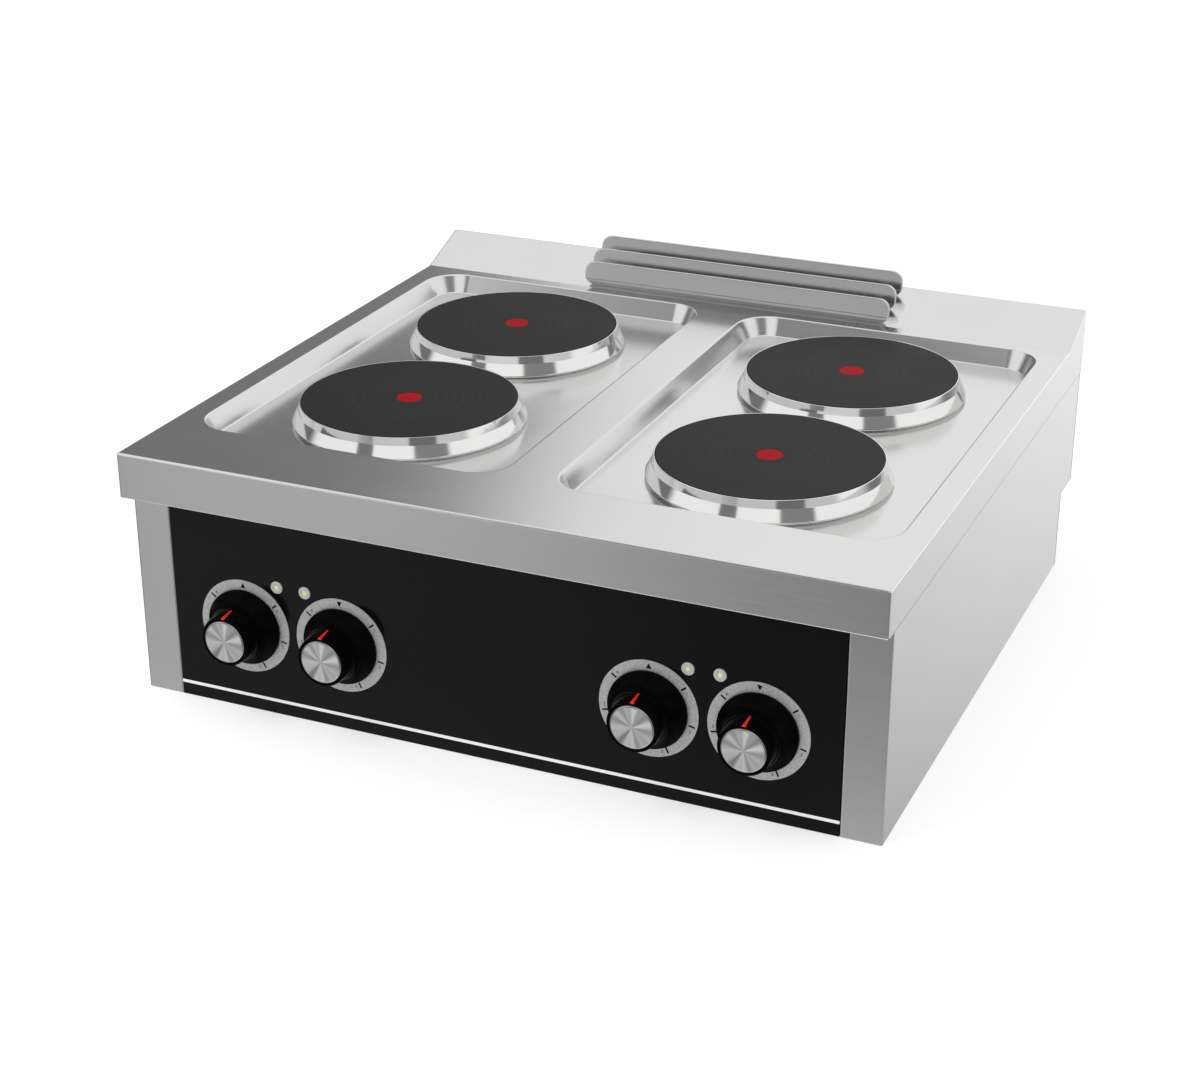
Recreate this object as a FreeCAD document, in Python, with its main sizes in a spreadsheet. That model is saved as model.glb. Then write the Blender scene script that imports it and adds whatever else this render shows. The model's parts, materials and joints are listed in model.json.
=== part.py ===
"""Counter-top electric hob with four sealed cast-iron hot plates, in millimetres.

The frame: X runs to the right, Y to the back and Z up. The origin is on the underside, at the
centre of the rectangle that the worktop covers. A shaft turns about a line along Y.
"""
import FreeCAD
import Part
import Sketcher
import math
import os
from FreeCAD import Placement, Rotation, Vector

doc = FreeCAD.newDocument("hot_plate_hob")
sheet = doc.addObject("Spreadsheet::Sheet", "Sizes")
aliases = []
parts = []


# ---------------------------------------------------------------- sizes
class Size:
    """A length: its number, and the sheet expression that gives it."""

    def __init__(self, value, text):
        self.value = float(value)
        self.text = text

    def __add__(self, other):
        other = as_size(other)
        return Size(self.value + other.value, f"({self.text} + {other.text})")

    def __sub__(self, other):
        other = as_size(other)
        return Size(self.value - other.value, f"({self.text} - {other.text})")

    def __mul__(self, other):
        other = as_size(other)
        return Size(self.value * other.value, f"({self.text} * {other.text})")

    def __truediv__(self, other):
        other = as_size(other)
        return Size(self.value / other.value, f"({self.text} / {other.text})")

    def __radd__(self, other):
        return as_size(other) + self

    def __rsub__(self, other):
        return as_size(other) - self

    def __rmul__(self, other):
        return as_size(other) * self

    def __neg__(self):
        return Size(-self.value, f"(-1 * {self.text})")


def as_size(item):
    return item if isinstance(item, Size) else Size(item, repr(float(item)))


def size(alias, number, meaning):
    """Write one driving dimension into the next row of the sheet and return it."""
    aliases.append(alias)
    row = len(aliases)
    sheet.set(f"A{row}", meaning)
    sheet.set(f"B{row}", str(number))
    sheet.setAlias(f"B{row}", alias)
    return Size(number, f"Sizes.{alias}")


# the case
width = size("width", 800, "across the worktop")
depth = size("depth", 750, "worktop, front to back")
top = size("worktop_height", 270, "worktop above the underside")
worktop_sheet = size("worktop_sheet", 1.2, "worktop steel")
apron_height = size("apron_height", 48, "folded edge of the worktop")
apron_overhang = size("apron_overhang", 21.5, "worktop front ahead of the case")
upstand_depth = size("upstand_depth", 75, "sloping rear strip, front to back")
upstand_rise = size("upstand_rise", 27, "sloping rear strip, rise")
case_sheet = size("case_sheet", 1.2, "side panel and base steel")
pillar_width = size("pillar_width", 41.8, "front return of a side panel")
lip_depth = size("lip_depth", 12, "inner lip of a pillar")
return_width = size("return_width", 15, "flanges of the side panels")
back_sheet = size("back_sheet", 1.0, "back panel steel")
recess_depth = size("recess_depth", 50, "service recess, front to back")
recess_height = size("recess_height", 89, "service recess above the underside")
tray_wall = size("tray_wall", 20, "upturned edge of the base tray")
front_wall = size("front_wall", 12, "upturned front edge of the base tray")

# the pressed pans and the flue
pan_gap = size("pan_gap", 54, "flat strip between the pans")
pan_side = size("pan_side", 26.5, "pan to the side of the worktop")
pan_back = size("pan_back", 17, "pans to the bend line")
pan_margin = size("pan_margin", 95, "worktop front to the pans")
pan_depth = size("pan_depth", 20, "pan floor below the worktop")
pan_slope = size("pan_slope", 10.5, "run of a pan wall")
pan_corner = size("pan_corner", 39, "pan corner radius at the worktop")
flue_length = size("flue_length", 300, "flue opening across")
flue_front = size("flue_front", 14, "bend line to the flue opening")
flue_width = size("flue_width", 46, "flue opening, front to back")

# the hot plates
rim_margin = size("rim_margin", 26.5, "spill rim to the end of its pan")
rim_spacing = size("rim_spacing", 16, "front spill rim to rear spill rim")
rim_skirt = size("rim_skirt", 9.8, "cast disc to the widest edge of its rim")
plate_proud = size("plate_proud", 4.4, "cast disc above the worktop")
plate_edge = size("plate_edge", 12, "height of the disc's rim")
plate_thickness = size("plate_thickness", 22, "cast disc over all")
plate_overhang = size("plate_overhang", 10.7, "rim of the disc outside the casting below it")
plate_chamfer = size("plate_chamfer", 1.2, "edge of the disc")
marker_radius = size("marker_radius", 13.75, "red marker in the disc's centre")
marker_depth = size("marker_depth", 0.6, "seat of the marker")
hole_clearance = size("hole_clearance", 3, "pan hole around the casting")
rim_band = size("rim_band", 3.3, "cast disc to the crease of its rim")
rim_crease_drop = size("rim_crease_drop", 8.4, "crease below the disc's face")
rim_lip = size("rim_lip", 0.6, "disc above the lip of its rim")
rim_seat = size("rim_seat", 5, "disc against its rim, below the face")
rim_foot_height = size("rim_foot_height", 3.5, "rolled foot of the spill rim")
rim_foot_tuck = size("rim_foot_tuck", 3, "foot inside the widest edge")
rim_sheet = size("rim_sheet", 0.8, "spill rim steel")
cover_inset = size("cover_inset", 4, "casting outside the cover under it")
cover_depth = size("cover_depth", 24, "pressed cover, height")
cover_sheet = size("cover_sheet", 0.8, "pressed cover steel")
stud_radius = size("stud_radius", 4, "plate stud")
strap_drop = size("strap_drop", 10, "clamp strap below the cover")
strap_width = size("strap_width", 24, "clamp strap across")
strap_sheet = size("strap_sheet", 3, "clamp strap steel")
strap_gap = size("strap_gap", 4, "clamp strap outside the pan hole")
strap_foot = size("strap_foot", 12, "foot of a clamp strap")
stud_gap = size("stud_gap", 0.5, "stud in its strap, per side")
stud_end = size("stud_end", 3, "stud beyond its nut")
nut_radius = size("nut_radius", 7, "plate nut, across corners / 2")
nut_height = size("nut_height", 6, "plate nut")
terminal_length = size("terminal_length", 44, "ceramic plate terminal")
terminal_width = size("terminal_width", 22, "ceramic plate terminal")
terminal_height = size("terminal_height", 18, "ceramic plate terminal")
terminal_offset = size("terminal_offset", 45, "plate centre to its terminal")
terminal_hole = size("terminal_hole", 2.5, "wire hole of a plate terminal")

# the controls
panel_sheet = size("panel_sheet", 1.5, "control panel")
panel_rise = size("panel_rise", 20, "control panel behind the apron")
pair_inset = size("pair_inset", 136.8, "middle of a pair of knobs to the pillar")
knob_pitch = size("knob_pitch", 110.2, "knob to knob in a pair")
lamp_pitch = size("lamp_pitch", 31.9, "lamp to lamp in a pair")
knob_height = size("knob_height", 94, "knob axis above the underside")
lamp_rise = size("lamp_rise", 50, "lamps above the knob axis")
trim_height = size("trim_height", 13.4, "white line above the underside")
trim_width = size("trim_width", 3.3, "white line")
trim_thickness = size("trim_thickness", 0.3, "white line")
dial_radius = size("dial_radius", 50.75, "dial ring")
dial_bore = size("dial_bore", 14, "dial ring, inner radius")
dial_thickness = size("dial_thickness", 1.0, "dial ring")
dial_bevel = size("dial_bevel", 0.3, "edge of the dial ring")
knob_gap = size("knob_gap", 0.6, "knob skirt clear of the dial ring")
skirt_radius = size("skirt_radius", 40.5, "knob skirt")
skirt_height = size("skirt_height", 3.9, "knob skirt")
grip_radius = size("grip_radius", 26, "knob grip")
grip_taper = size("grip_taper", 1.5, "grip wider at its foot")
sweep_height = size("sweep_height", 25, "knob skirt's sweep above its back")
knob_length = size("knob_length", 39.9, "knob, along its axis")
cap_radius = size("cap_radius", 22.4, "metal cap of a knob")
cap_thickness = size("cap_thickness", 1.6, "metal cap of a knob")
cap_seat = size("cap_seat", 1.0, "depth of the cap's seat")
shaft_radius = size("shaft_radius", 3.0, "switch shaft")
shaft_flat = size("shaft_flat", 0.8, "flat of the D-shaped shaft end")
shaft_grip = size("shaft_grip", 26, "shaft inside the knob")
running_gap = size("running_gap", 0.05, "shaft in the switch, per side")
panel_hole_gap = size("panel_hole_gap", 2.5, "shaft in the panel, per side")
switch_width = size("switch_width", 46, "energy switch, square")
switch_depth = size("switch_depth", 42, "energy switch")
shaft_socket = size("shaft_socket", 30, "bore of the energy switch")
blade_length = size("blade_length", 10, "switch terminal blade")
blade_width = size("blade_width", 6.3, "switch terminal blade")
blade_sheet = size("blade_sheet", 0.8, "switch terminal blade")
blade_pitch = size("blade_pitch", 14, "blade to blade, across")
blade_rise = size("blade_rise", 11, "switch axis to a row of blades")
socket_gap = size("socket_gap", 0.5, "shaft end short of its bore")
bezel_radius = size("bezel_radius", 6.6, "pilot lamp bezel")
bezel_face = size("bezel_face", 1.6, "pilot lamp bezel ahead of the panel")
barrel_radius = size("barrel_radius", 4.4, "pilot lamp barrel")
barrel_length = size("barrel_length", 16, "pilot lamp barrel")
lens_radius = size("lens_radius", 2.6, "pilot lamp lens")

# the louvre
slat_half = size("slat_half", 189.5, "half the length of a slat")
slat_corner = size("slat_corner", 12, "rounded ends of a slat")
slat_sheet = size("slat_sheet", 1.2, "slat steel")
slat_upper = size("slat_upper", 20.5, "crease to the top edge")
slat_lower = size("slat_lower", 8.7, "bottom edge to the crease")
slat_lean = size("slat_lean", 4.5, "top edge behind the crease")
slat_tuck = size("slat_tuck", 4.0, "bottom edge behind the crease")
slat_start = size("slat_start", 4.5, "bend line to the first slat's foot")
slat_pitch = size("slat_pitch", 25, "slat to slat, front to back")
spacer_sheet = size("spacer_sheet", 2.0, "plates between the slats")
spacer_inset = size("spacer_inset", 8, "flue opening to the spacer plates")
spacer_front = size("spacer_front", 9, "spacer plate, height at its front")
spacer_back = size("spacer_back", 14, "spacer plate, height at its back")
spacer_tail = size("spacer_tail", 4, "spacer plate behind the last slat")

# inside and behind
rail_half = size("rail_half", 22, "half the width of the centre rail")
rail_height = size("rail_height", 25, "centre rail")
rail_sheet = size("rail_sheet", 1.5, "rails")
rail_front = size("rail_front", 40, "control panel to the centre rail")
rail_back = size("rail_back", 60, "centre rail to the back panel")
rail_end = size("rail_end", 2, "cross pieces short of the pillars")
angle_depth = size("angle_depth", 22, "angle behind the panel, shelf")
angle_height = size("angle_height", 20, "angle behind the panel, upright")
shield_setback = size("shield_setback", 62, "control panel to the heat shield")
shield_height = size("shield_height", 226, "heat shield")
block_length = size("block_length", 70, "mains terminal block")
block_width = size("block_width", 36, "mains terminal block")
block_height = size("block_height", 30, "mains terminal block")
block_setback = size("block_setback", 48, "back wall to the terminal block")
block_hole = size("block_hole", 3, "wire hole of the terminal block")
inlet_inset = size("inlet_inset", 113.8, "cable gland to the side of the case")
inlet_height = size("inlet_height", 46, "cable gland above the underside")
gland_bore = size("gland_bore", 9, "cable entry, radius")
gland_thread = size("gland_thread", 12, "gland barrel")
gland_shoulder = size("gland_shoulder", 4, "gland flange outside the barrel")
flange_thickness = size("flange_thickness", 6, "gland flange")
gland_neck = size("gland_neck", 2, "groove between flange and dome nut")
dome_bevel = size("dome_bevel", 8, "bevel of the dome nut")
locknut_height = size("locknut_height", 5, "gland locknut")
gland_reach = size("gland_reach", 26, "gland behind the back wall")
gland_tail = size("gland_tail", 12, "gland inside the back wall")
wall_hole_gap = size("wall_hole_gap", 0.2, "gland barrel in its hole")
earth_inset = size("earth_inset", 53.8, "bonding stud to the side of the case")
earth_height = size("earth_height", 30, "bonding stud above the underside")
earth_radius = size("earth_radius", 3, "bonding stud")
earth_reach = size("earth_reach", 22, "bonding stud behind the back wall")
earth_root = size("earth_root", 8, "bonding stud inside the back wall")
washer_height = size("washer_height", 1.5, "bonding stud washer")
earth_nut = size("earth_nut", 4.5, "bonding stud nut")
screw_radius = size("screw_radius", 2, "case screw")
screw_head = size("screw_head", 4.5, "head of a case screw")
screw_rise = size("screw_rise", 1.1, "height of a screw's head")
screw_length = size("screw_length", 8, "case screw")
screw_edge = size("screw_edge", 20, "screw to the edge of its panel")
screw_top = size("screw_top", 12, "top screw below the foot of the apron")
vent_width = size("vent_width", 6, "vent slot")
vent_length = size("vent_length", 60, "vent slot")
vent_pitch = size("vent_pitch", 36, "vent slot to vent slot")
foot_inset_x = size("foot_inset_x", 60, "foot inserts from the sides")
foot_inset_y = size("foot_inset_y", 115, "foot inserts from front and back")
foot_hole = size("foot_hole", 5.25, "hole for a foot's stud")
foot_nut = size("foot_nut", 18, "square nut of a foot")
foot_nut_height = size("foot_nut_height", 8, "square nut of a foot")
loom_radius = size("loom_radius", 6, "wiring bundle")

# places worked out from the sizes
right = width / 2
front = -(depth / 2)
back = depth / 2
bend = back - upstand_depth
slope = upstand_rise / upstand_depth
crest = top + upstand_rise
underside = top - worktop_sheet
apron_foot = top - apron_height
case_front = front + apron_overhang
case_side = right - worktop_sheet
case_inside = case_side - case_sheet
panel_half = case_side - pillar_width
panel_back = case_front + panel_sheet
panel_top = apron_foot + panel_rise
flange_face = back - worktop_sheet
rear_inner = flange_face - back_sheet
recess_face = back - recess_depth
recess_inner = recess_face - back_sheet
step_top = recess_height + back_sheet
pan_width = (width - pan_gap - 2 * pan_side) / 2
pan_length = bend - pan_back - (front + pan_margin)
pan_x = pan_gap / 2 + pan_width / 2
pan_y = front + pan_margin + pan_length / 2
plate_top = top + plate_proud
pan_floor = top - pan_depth
pan_drop = plate_proud + pan_depth
rim_radius = (pan_length - 2 * rim_margin - rim_spacing) / 4
plate_radius = rim_radius - rim_skirt
plate_core = plate_radius - plate_overhang
rim_crease = plate_radius + rim_band
cover_radius = plate_core - cover_inset
plate_pitch = 2 * rim_radius + rim_spacing
pair_centre = panel_half - pair_inset
inlet_place = case_side - inlet_inset
earth_place = case_side - earth_inset
gland_flange = gland_thread + gland_shoulder
shield_y = panel_back + shield_setback


# ---------------------------------------------------------------- helpers
def bind(item, name, value):
    item.setExpression(name, as_size(value).text)


def place(item, x=0, y=0, z=0, turn=None):
    """Put an object at a place given by sizes, turned first if asked."""
    if turn is not None:
        item.Placement = Placement(Vector(), turn)
    for name, value in zip("xyz", (x, y, z)):
        bind(item, f"Placement.Base.{name}", value)
    return item


def keep(item, label):
    item.Label = label
    parts.append(item)
    return item


def box(x, y, z, kind="Part::Box", body=None):
    """A block between the low and high sizes of each axis."""
    item = body.newObject(kind, "block") if body else doc.addObject(kind, "block")
    for name, (low, high) in zip(("Length", "Width", "Height"), (x, y, z)):
        bind(item, name, as_size(high) - low)
    return place(item, x[0], y[0], z[0])


def mirrored_span(side, low, high):
    """The X range low to high on the right, or its mirror image on the left."""
    return (low, high) if side > 0 else (-as_size(high), -as_size(low))


def rod(radius, low, high, x, other, axis="Y"):
    """A round bar along Y (other is its Z) or along Z (other is its Y)."""
    item = doc.addObject("Part::Cylinder", "rod")
    bind(item, "Radius", radius)
    bind(item, "Height", as_size(high) - low)
    if axis == "Y":
        return place(item, x, low, other, Rotation(Vector(1, 0, 0), -90))
    return place(item, x, other, low)


def cut(base, tools):
    item = doc.addObject("Part::Cut", "cut")
    item.Base = base
    item.Tool = join(tools)
    return item


def join(items):
    if len(items) == 1:
        return items[0]
    item = doc.addObject("Part::MultiFuse", "join")
    item.Shapes = items
    return item


def group(items):
    item = doc.addObject("Part::Compound", "group")
    item.Links = items
    return item


def new_body(name):
    return doc.addObject("PartDesign::Body", name)


def new_sketch(body, role, offset):
    """An empty sketch on one of the body's own origin planes, moved along its normal."""
    sketch = body.newObject("Sketcher::SketchObject", "outline")
    plane = [item for item in body.Origin.OriginFeatures if item.Role == role][0]
    sketch.AttachmentSupport = [(plane, "")]
    sketch.MapMode = "FlatFace"
    bind(sketch, "AttachmentOffset.Base.z", offset)
    return sketch


def hold(sketch, kind, value, *place_on):
    """Add a dimension to a sketch and tie it to its size."""
    value = as_size(value)
    row = sketch.addConstraint(Sketcher.Constraint(kind, *place_on, value.value))
    sketch.setExpression(f"Constraints[{row}]", value.text)


def polygon(body, role, points, offset=0):
    """A closed sketch of straight lines, each corner held by its two sizes."""
    sketch = new_sketch(body, role, offset)
    points = [(as_size(across), as_size(up)) for across, up in points]
    corners = [Vector(across.value, up.value, 0) for across, up in points]
    for start, end in zip(corners, corners[1:] + corners[:1]):
        sketch.addGeometry(Part.LineSegment(start, end))
    for line, (across, up) in enumerate(points):
        following = (line + 1) % len(points)
        sketch.addConstraint(Sketcher.Constraint("Coincident", line, 2, following, 1))
        hold(sketch, "DistanceX", across, -1, 1, line, 1)
        hold(sketch, "DistanceY", up, -1, 1, line, 1)
    return sketch


def rounded_rectangle(body, role, x, y, radius, offset=0):
    """A closed sketch: four lines joined by four equal tangent arcs."""
    sketch = new_sketch(body, role, offset)
    x0, x1 = (as_size(item).value for item in x)
    y0, y1 = (as_size(item).value for item in y)
    r = radius.value
    ends = (((x0 + r, y0), (x1 - r, y0)), ((x1, y0 + r), (x1, y1 - r)),
            ((x1 - r, y1), (x0 + r, y1)), ((x0, y1 - r), (x0, y0 + r)))
    for start, end in ends:
        sketch.addGeometry(Part.LineSegment(Vector(*start, 0), Vector(*end, 0)))
    centres = ((x1 - r, y0 + r), (x1 - r, y1 - r), (x0 + r, y1 - r), (x0 + r, y0 + r))
    for turn, centre in enumerate(centres):
        circle = Part.Circle(Vector(*centre, 0), Vector(0, 0, 1), r)
        start = (turn - 1) * math.pi / 2
        sketch.addGeometry(Part.ArcOfCircle(circle, start, start + math.pi / 2))
    for line in range(4):
        arc = line + 4
        sketch.addConstraint(Sketcher.Constraint("Tangent", line, 2, arc, 1))
        sketch.addConstraint(Sketcher.Constraint("Tangent", arc, 2, (line + 1) % 4, 1))
        direction = "Horizontal" if line % 2 == 0 else "Vertical"
        sketch.addConstraint(Sketcher.Constraint(direction, line))
    for arc in (4, 5, 6):
        sketch.addConstraint(Sketcher.Constraint("Equal", arc, arc + 1))
    hold(sketch, "Radius", radius, 4)
    hold(sketch, "DistanceY", y[0], -1, 1, 0, 1)
    hold(sketch, "DistanceX", x[1], -1, 1, 1, 1)
    hold(sketch, "DistanceY", y[1], -1, 1, 2, 1)
    hold(sketch, "DistanceX", x[0], -1, 1, 3, 1)
    return sketch


def circles(body, role, rounds, offset=0):
    """A sketch of circles, each given by its centre and radius."""
    sketch = new_sketch(body, role, offset)
    for number, (across, up, radius) in enumerate(rounds):
        across, up, radius = as_size(across), as_size(up), as_size(radius)
        centre = Vector(across.value, up.value, 0)
        sketch.addGeometry(Part.Circle(centre, Vector(0, 0, 1), radius.value))
        hold(sketch, "Radius", radius, number)
        hold(sketch, "DistanceX", across, -1, 1, number, 3)
        hold(sketch, "DistanceY", up, -1, 1, number, 3)
    return sketch


def extrude(kind, sketch, length):
    """A Pad goes along the sketch's normal, a Pocket against it."""
    feature = sketch.getParentGeoFeatureGroup().newObject(kind, kind.split("::")[1].lower())
    feature.Profile = sketch
    bind(feature, "Length", length)
    return feature


def pad(sketch, length):
    return extrude("PartDesign::Pad", sketch, length)


def pocket(sketch, length):
    return extrude("PartDesign::Pocket", sketch, length)


def turned(name, points):
    """A body turned about Z from points given as radius and height."""
    body = new_body(name)
    sketch = polygon(body, "XZ_Plane", points)
    feature = body.newObject("PartDesign::Revolution", "turning")
    feature.Profile = sketch
    feature.ReferenceAxis = (sketch, ["V_Axis"])
    feature.Angle = 360
    return body


def frustum(body, kind, x, y, upper, lower, run, radius):
    """A loft from a rounded rectangle at one height to one smaller by run all round."""
    first = rounded_rectangle(body, "XY_Plane", x, y, radius, upper)
    x_in = (x[0] + run, x[1] - run)
    y_in = (y[0] + run, y[1] - run)
    second = rounded_rectangle(body, "XY_Plane", x_in, y_in, radius - run, lower)
    feature = body.newObject(kind, "pressing")
    feature.Profile = first
    feature.Sections = [second]
    feature.Ruled = True
    return feature


VENTS = 14
SWEEP_STEPS = 8
OUT_OF_PANEL = Rotation(Vector(1, 0, 0), 90)
OUT_OF_BACK = Rotation(Vector(1, 0, 0), -90)
knob_places = [side * pair_centre + step * (knob_pitch / 2) for side in (-1, 1) for step in (-1, 1)]
lamp_places = [side * pair_centre + step * (lamp_pitch / 2) for side in (-1, 1) for step in (-1, 1)]
plate_places = [(side * pan_x, pan_y + step * (plate_pitch / 2)) for step in (-1, 1) for side in (-1, 1)]


# ---------------------------------------------------------------- case
def worktop():
    """One sheet: flat top, folded aprons, sloping rear strip and two pressed pans."""
    body = new_body("worktop")
    outer = ((front, apron_foot), (front, top), (bend, top), (back, crest), (back, apron_foot))
    pad(polygon(body, "YZ_Plane", outer, -right), width)
    inner_crest = crest - worktop_sheet - slope * worktop_sheet
    inner = ((front + worktop_sheet, apron_foot), (front + worktop_sheet, underside), (bend, underside),
             (flange_face, inner_crest), (flange_face, apron_foot))
    pocket(polygon(body, "YZ_Plane", inner, case_side), 2 * case_side)
    box((-case_side, case_side), (front + worktop_sheet, case_front),
        (apron_foot, apron_foot + worktop_sheet), "PartDesign::AdditiveBox", body)
    span_y = (pan_y - pan_length / 2, pan_y + pan_length / 2)
    wall = worktop_sheet
    for side in (-1, 1):
        span_x = mirrored_span(side, pan_x - pan_width / 2, pan_x + pan_width / 2)
        frustum(body, "PartDesign::AdditiveLoft", (span_x[0] - wall, span_x[1] + wall),
                (span_y[0] - wall, span_y[1] + wall), underside, pan_floor - wall, pan_slope,
                pan_corner + wall)
        frustum(body, "PartDesign::SubtractiveLoft", span_x, span_y, top, pan_floor, pan_slope,
                pan_corner)
    holes = [(x, y, plate_core + hole_clearance) for x, y in plate_places]
    pocket(circles(body, "XY_Plane", holes, pan_floor + 1), worktop_sheet + 2)
    opening = ((-(flue_length / 2), bend + flue_front), (flue_length / 2, bend + flue_front),
               (flue_length / 2, bend + flue_front + flue_width),
               (-(flue_length / 2), bend + flue_front + flue_width))
    pocket(polygon(body, "XY_Plane", opening, crest + 1), upstand_rise + 10)
    keep(body, "worktop")


def side_panel(side, label):
    """Wall with the recess cut out of it, front pillar with its lip, and three flanges."""
    body = new_body(label)
    wall = ((case_front, 0), (case_front, underside), (rear_inner, underside),
            (rear_inner, step_top), (recess_inner, step_top), (recess_inner, 0))
    start = case_inside if side > 0 else -case_side
    pad(polygon(body, "YZ_Plane", wall, start), case_sheet)
    flange = mirrored_span(side, case_side - return_width, case_inside)
    inner_front = case_front + case_sheet
    blocks = (
        (mirrored_span(side, panel_half, case_inside), (case_front, inner_front), (0, underside)),
        (mirrored_span(side, panel_half, panel_half + case_sheet),
         (inner_front, inner_front + lip_depth), (case_sheet, underside)),
        (flange, (rear_inner - case_sheet, rear_inner), (step_top, underside)),
        (flange, (recess_inner - case_sheet, recess_inner), (case_sheet, step_top)),
        (flange, (inner_front, rear_inner - case_sheet), (underside - case_sheet, underside)),
    )
    for x, y, z in blocks:
        box(x, y, z, "PartDesign::AdditiveBox", body)
    bores = [(rear_inner, height) for height in upper_screws]
    bores += [(recess_inner, height) for height in lower_screws]
    for face, height in bores:
        bore = body.newObject("PartDesign::SubtractiveCylinder", "screw_bore")
        bind(bore, "Radius", screw_radius)
        bind(bore, "Height", case_sheet)
        place(bore, side * screw_x, face - case_sheet, height, OUT_OF_BACK)
    keep(body, label)


def back_panel():
    """A stepped sheet behind the case that leaves the service recess below it."""
    body = new_body("back_panel")
    edge = ((rear_inner, underside), (flange_face, underside), (flange_face, recess_height),
            (recess_face, recess_height), (recess_face, 0), (recess_inner, 0),
            (recess_inner, step_top), (rear_inner, step_top))
    pad(polygon(body, "YZ_Plane", edge, -case_side), 2 * case_side)
    upper = [(side * screw_x, height, screw_radius) for side in (-1, 1) for height in upper_screws]
    pocket(circles(body, "XZ_Plane", upper, -rear_inner + 1), back_sheet + 2)
    lower = [(side * screw_x, height, screw_radius) for side in (-1, 1) for height in lower_screws]
    lower.append((inlet_place, inlet_height, gland_thread + wall_hole_gap))
    lower.append((earth_place, earth_height, earth_radius))
    pocket(circles(body, "XZ_Plane", lower, -recess_inner + 1), back_sheet + 2)
    low = (step_top + apron_foot - vent_length) / 2
    vent_row(body, "XZ_Plane", low, -rear_inner + 1, back_sheet + 2)
    keep(body, "back_panel")


def vent_row(body, role, low, offset, length):
    """A row of slots across the middle of a sheet: one cut, repeated along X."""
    left = -(vent_pitch * (VENTS - 1) + vent_width) / 2
    slot = ((left, low), (left + vent_width, low), (left + vent_width, low + vent_length),
            (left, low + vent_length))
    pattern_of = pocket(polygon(body, role, slot, offset), length)
    pattern = body.newObject("PartDesign::LinearPattern", "row")
    pattern.Originals = [pattern_of]
    axis = [item for item in body.Origin.OriginFeatures if item.Role == "X_Axis"][0]
    pattern.Direction = (axis, [""])
    pattern.Mode = "Spacing"
    bind(pattern, "Offset", vent_pitch)
    pattern.Occurrences = VENTS
    body.Tip = pattern


def base_tray():
    """The floor of the case, with upturned edges, vents and four holes for feet."""
    body = new_body("base_tray")
    floor = ((-case_inside, panel_back), (case_inside, panel_back), (case_inside, recess_inner),
             (-case_inside, recess_inner))
    pad(polygon(body, "XY_Plane", floor), case_sheet)
    inner_front = case_front + case_sheet + lip_depth + 1
    inner_back = recess_inner - case_sheet - 1
    for side in (-1, 1):
        box(mirrored_span(side, case_inside - case_sheet, case_inside), (inner_front, inner_back),
            (case_sheet, tray_wall), "PartDesign::AdditiveBox", body)
    span = (-(panel_half - rail_end), panel_half - rail_end)
    box(span, (panel_back, panel_back + case_sheet), (case_sheet, front_wall),
        "PartDesign::AdditiveBox", body)
    box(span, (recess_inner - case_sheet, recess_inner), (case_sheet, tray_wall),
        "PartDesign::AdditiveBox", body)
    holes = [(x, y, foot_hole) for x, y in foot_places]
    pocket(circles(body, "XY_Plane", holes, case_sheet + 1), case_sheet + 2)
    vent_row(body, "XY_Plane", -(vent_length / 2), case_sheet + 1, case_sheet + 2)
    keep(body, "base_tray")


def foot_nuts():
    """Square nuts over the holes of the base tray, for adjustable feet or a stand."""
    nuts = []
    half = foot_nut / 2
    for x, y in foot_places:
        block = box((x - half, x + half), (y - half, y + half),
                    (case_sheet, case_sheet + foot_nut_height))
        bore = rod(foot_hole, case_sheet - 1, case_sheet + foot_nut_height + 1, x, y, "Z")
        nuts.append(cut(block, [bore]))
    keep(group(nuts), "foot_nuts")


def case_screws():
    """Low-headed screws that hold the back panel to the side panels' flanges."""
    screws = []
    for side in (-1, 1):
        for face, heights in ((flange_face, upper_screws), (recess_face, lower_screws)):
            for height in heights:
                edge = screw_head - 0.4
                points = ((0, back_sheet - screw_length), (screw_radius, back_sheet - screw_length),
                          (screw_radius, 0), (screw_head, 0), (edge, screw_rise), (0, screw_rise))
                screw = turned("screw", points)
                screws.append(place(screw, side * screw_x, face, height, OUT_OF_BACK))
    keep(group(screws), "case_screws")


screw_x = case_side - return_width / 2
upper_screws = [step_top + screw_edge, (step_top + apron_foot) / 2, apron_foot - screw_top]
lower_screws = [tray_wall + screw_edge / 2, recess_height - screw_edge]
foot_places = [(across * (right - foot_inset_x), along * (back - foot_inset_y))
               for across in (-1, 1) for along in (-1, 1)]


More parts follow.
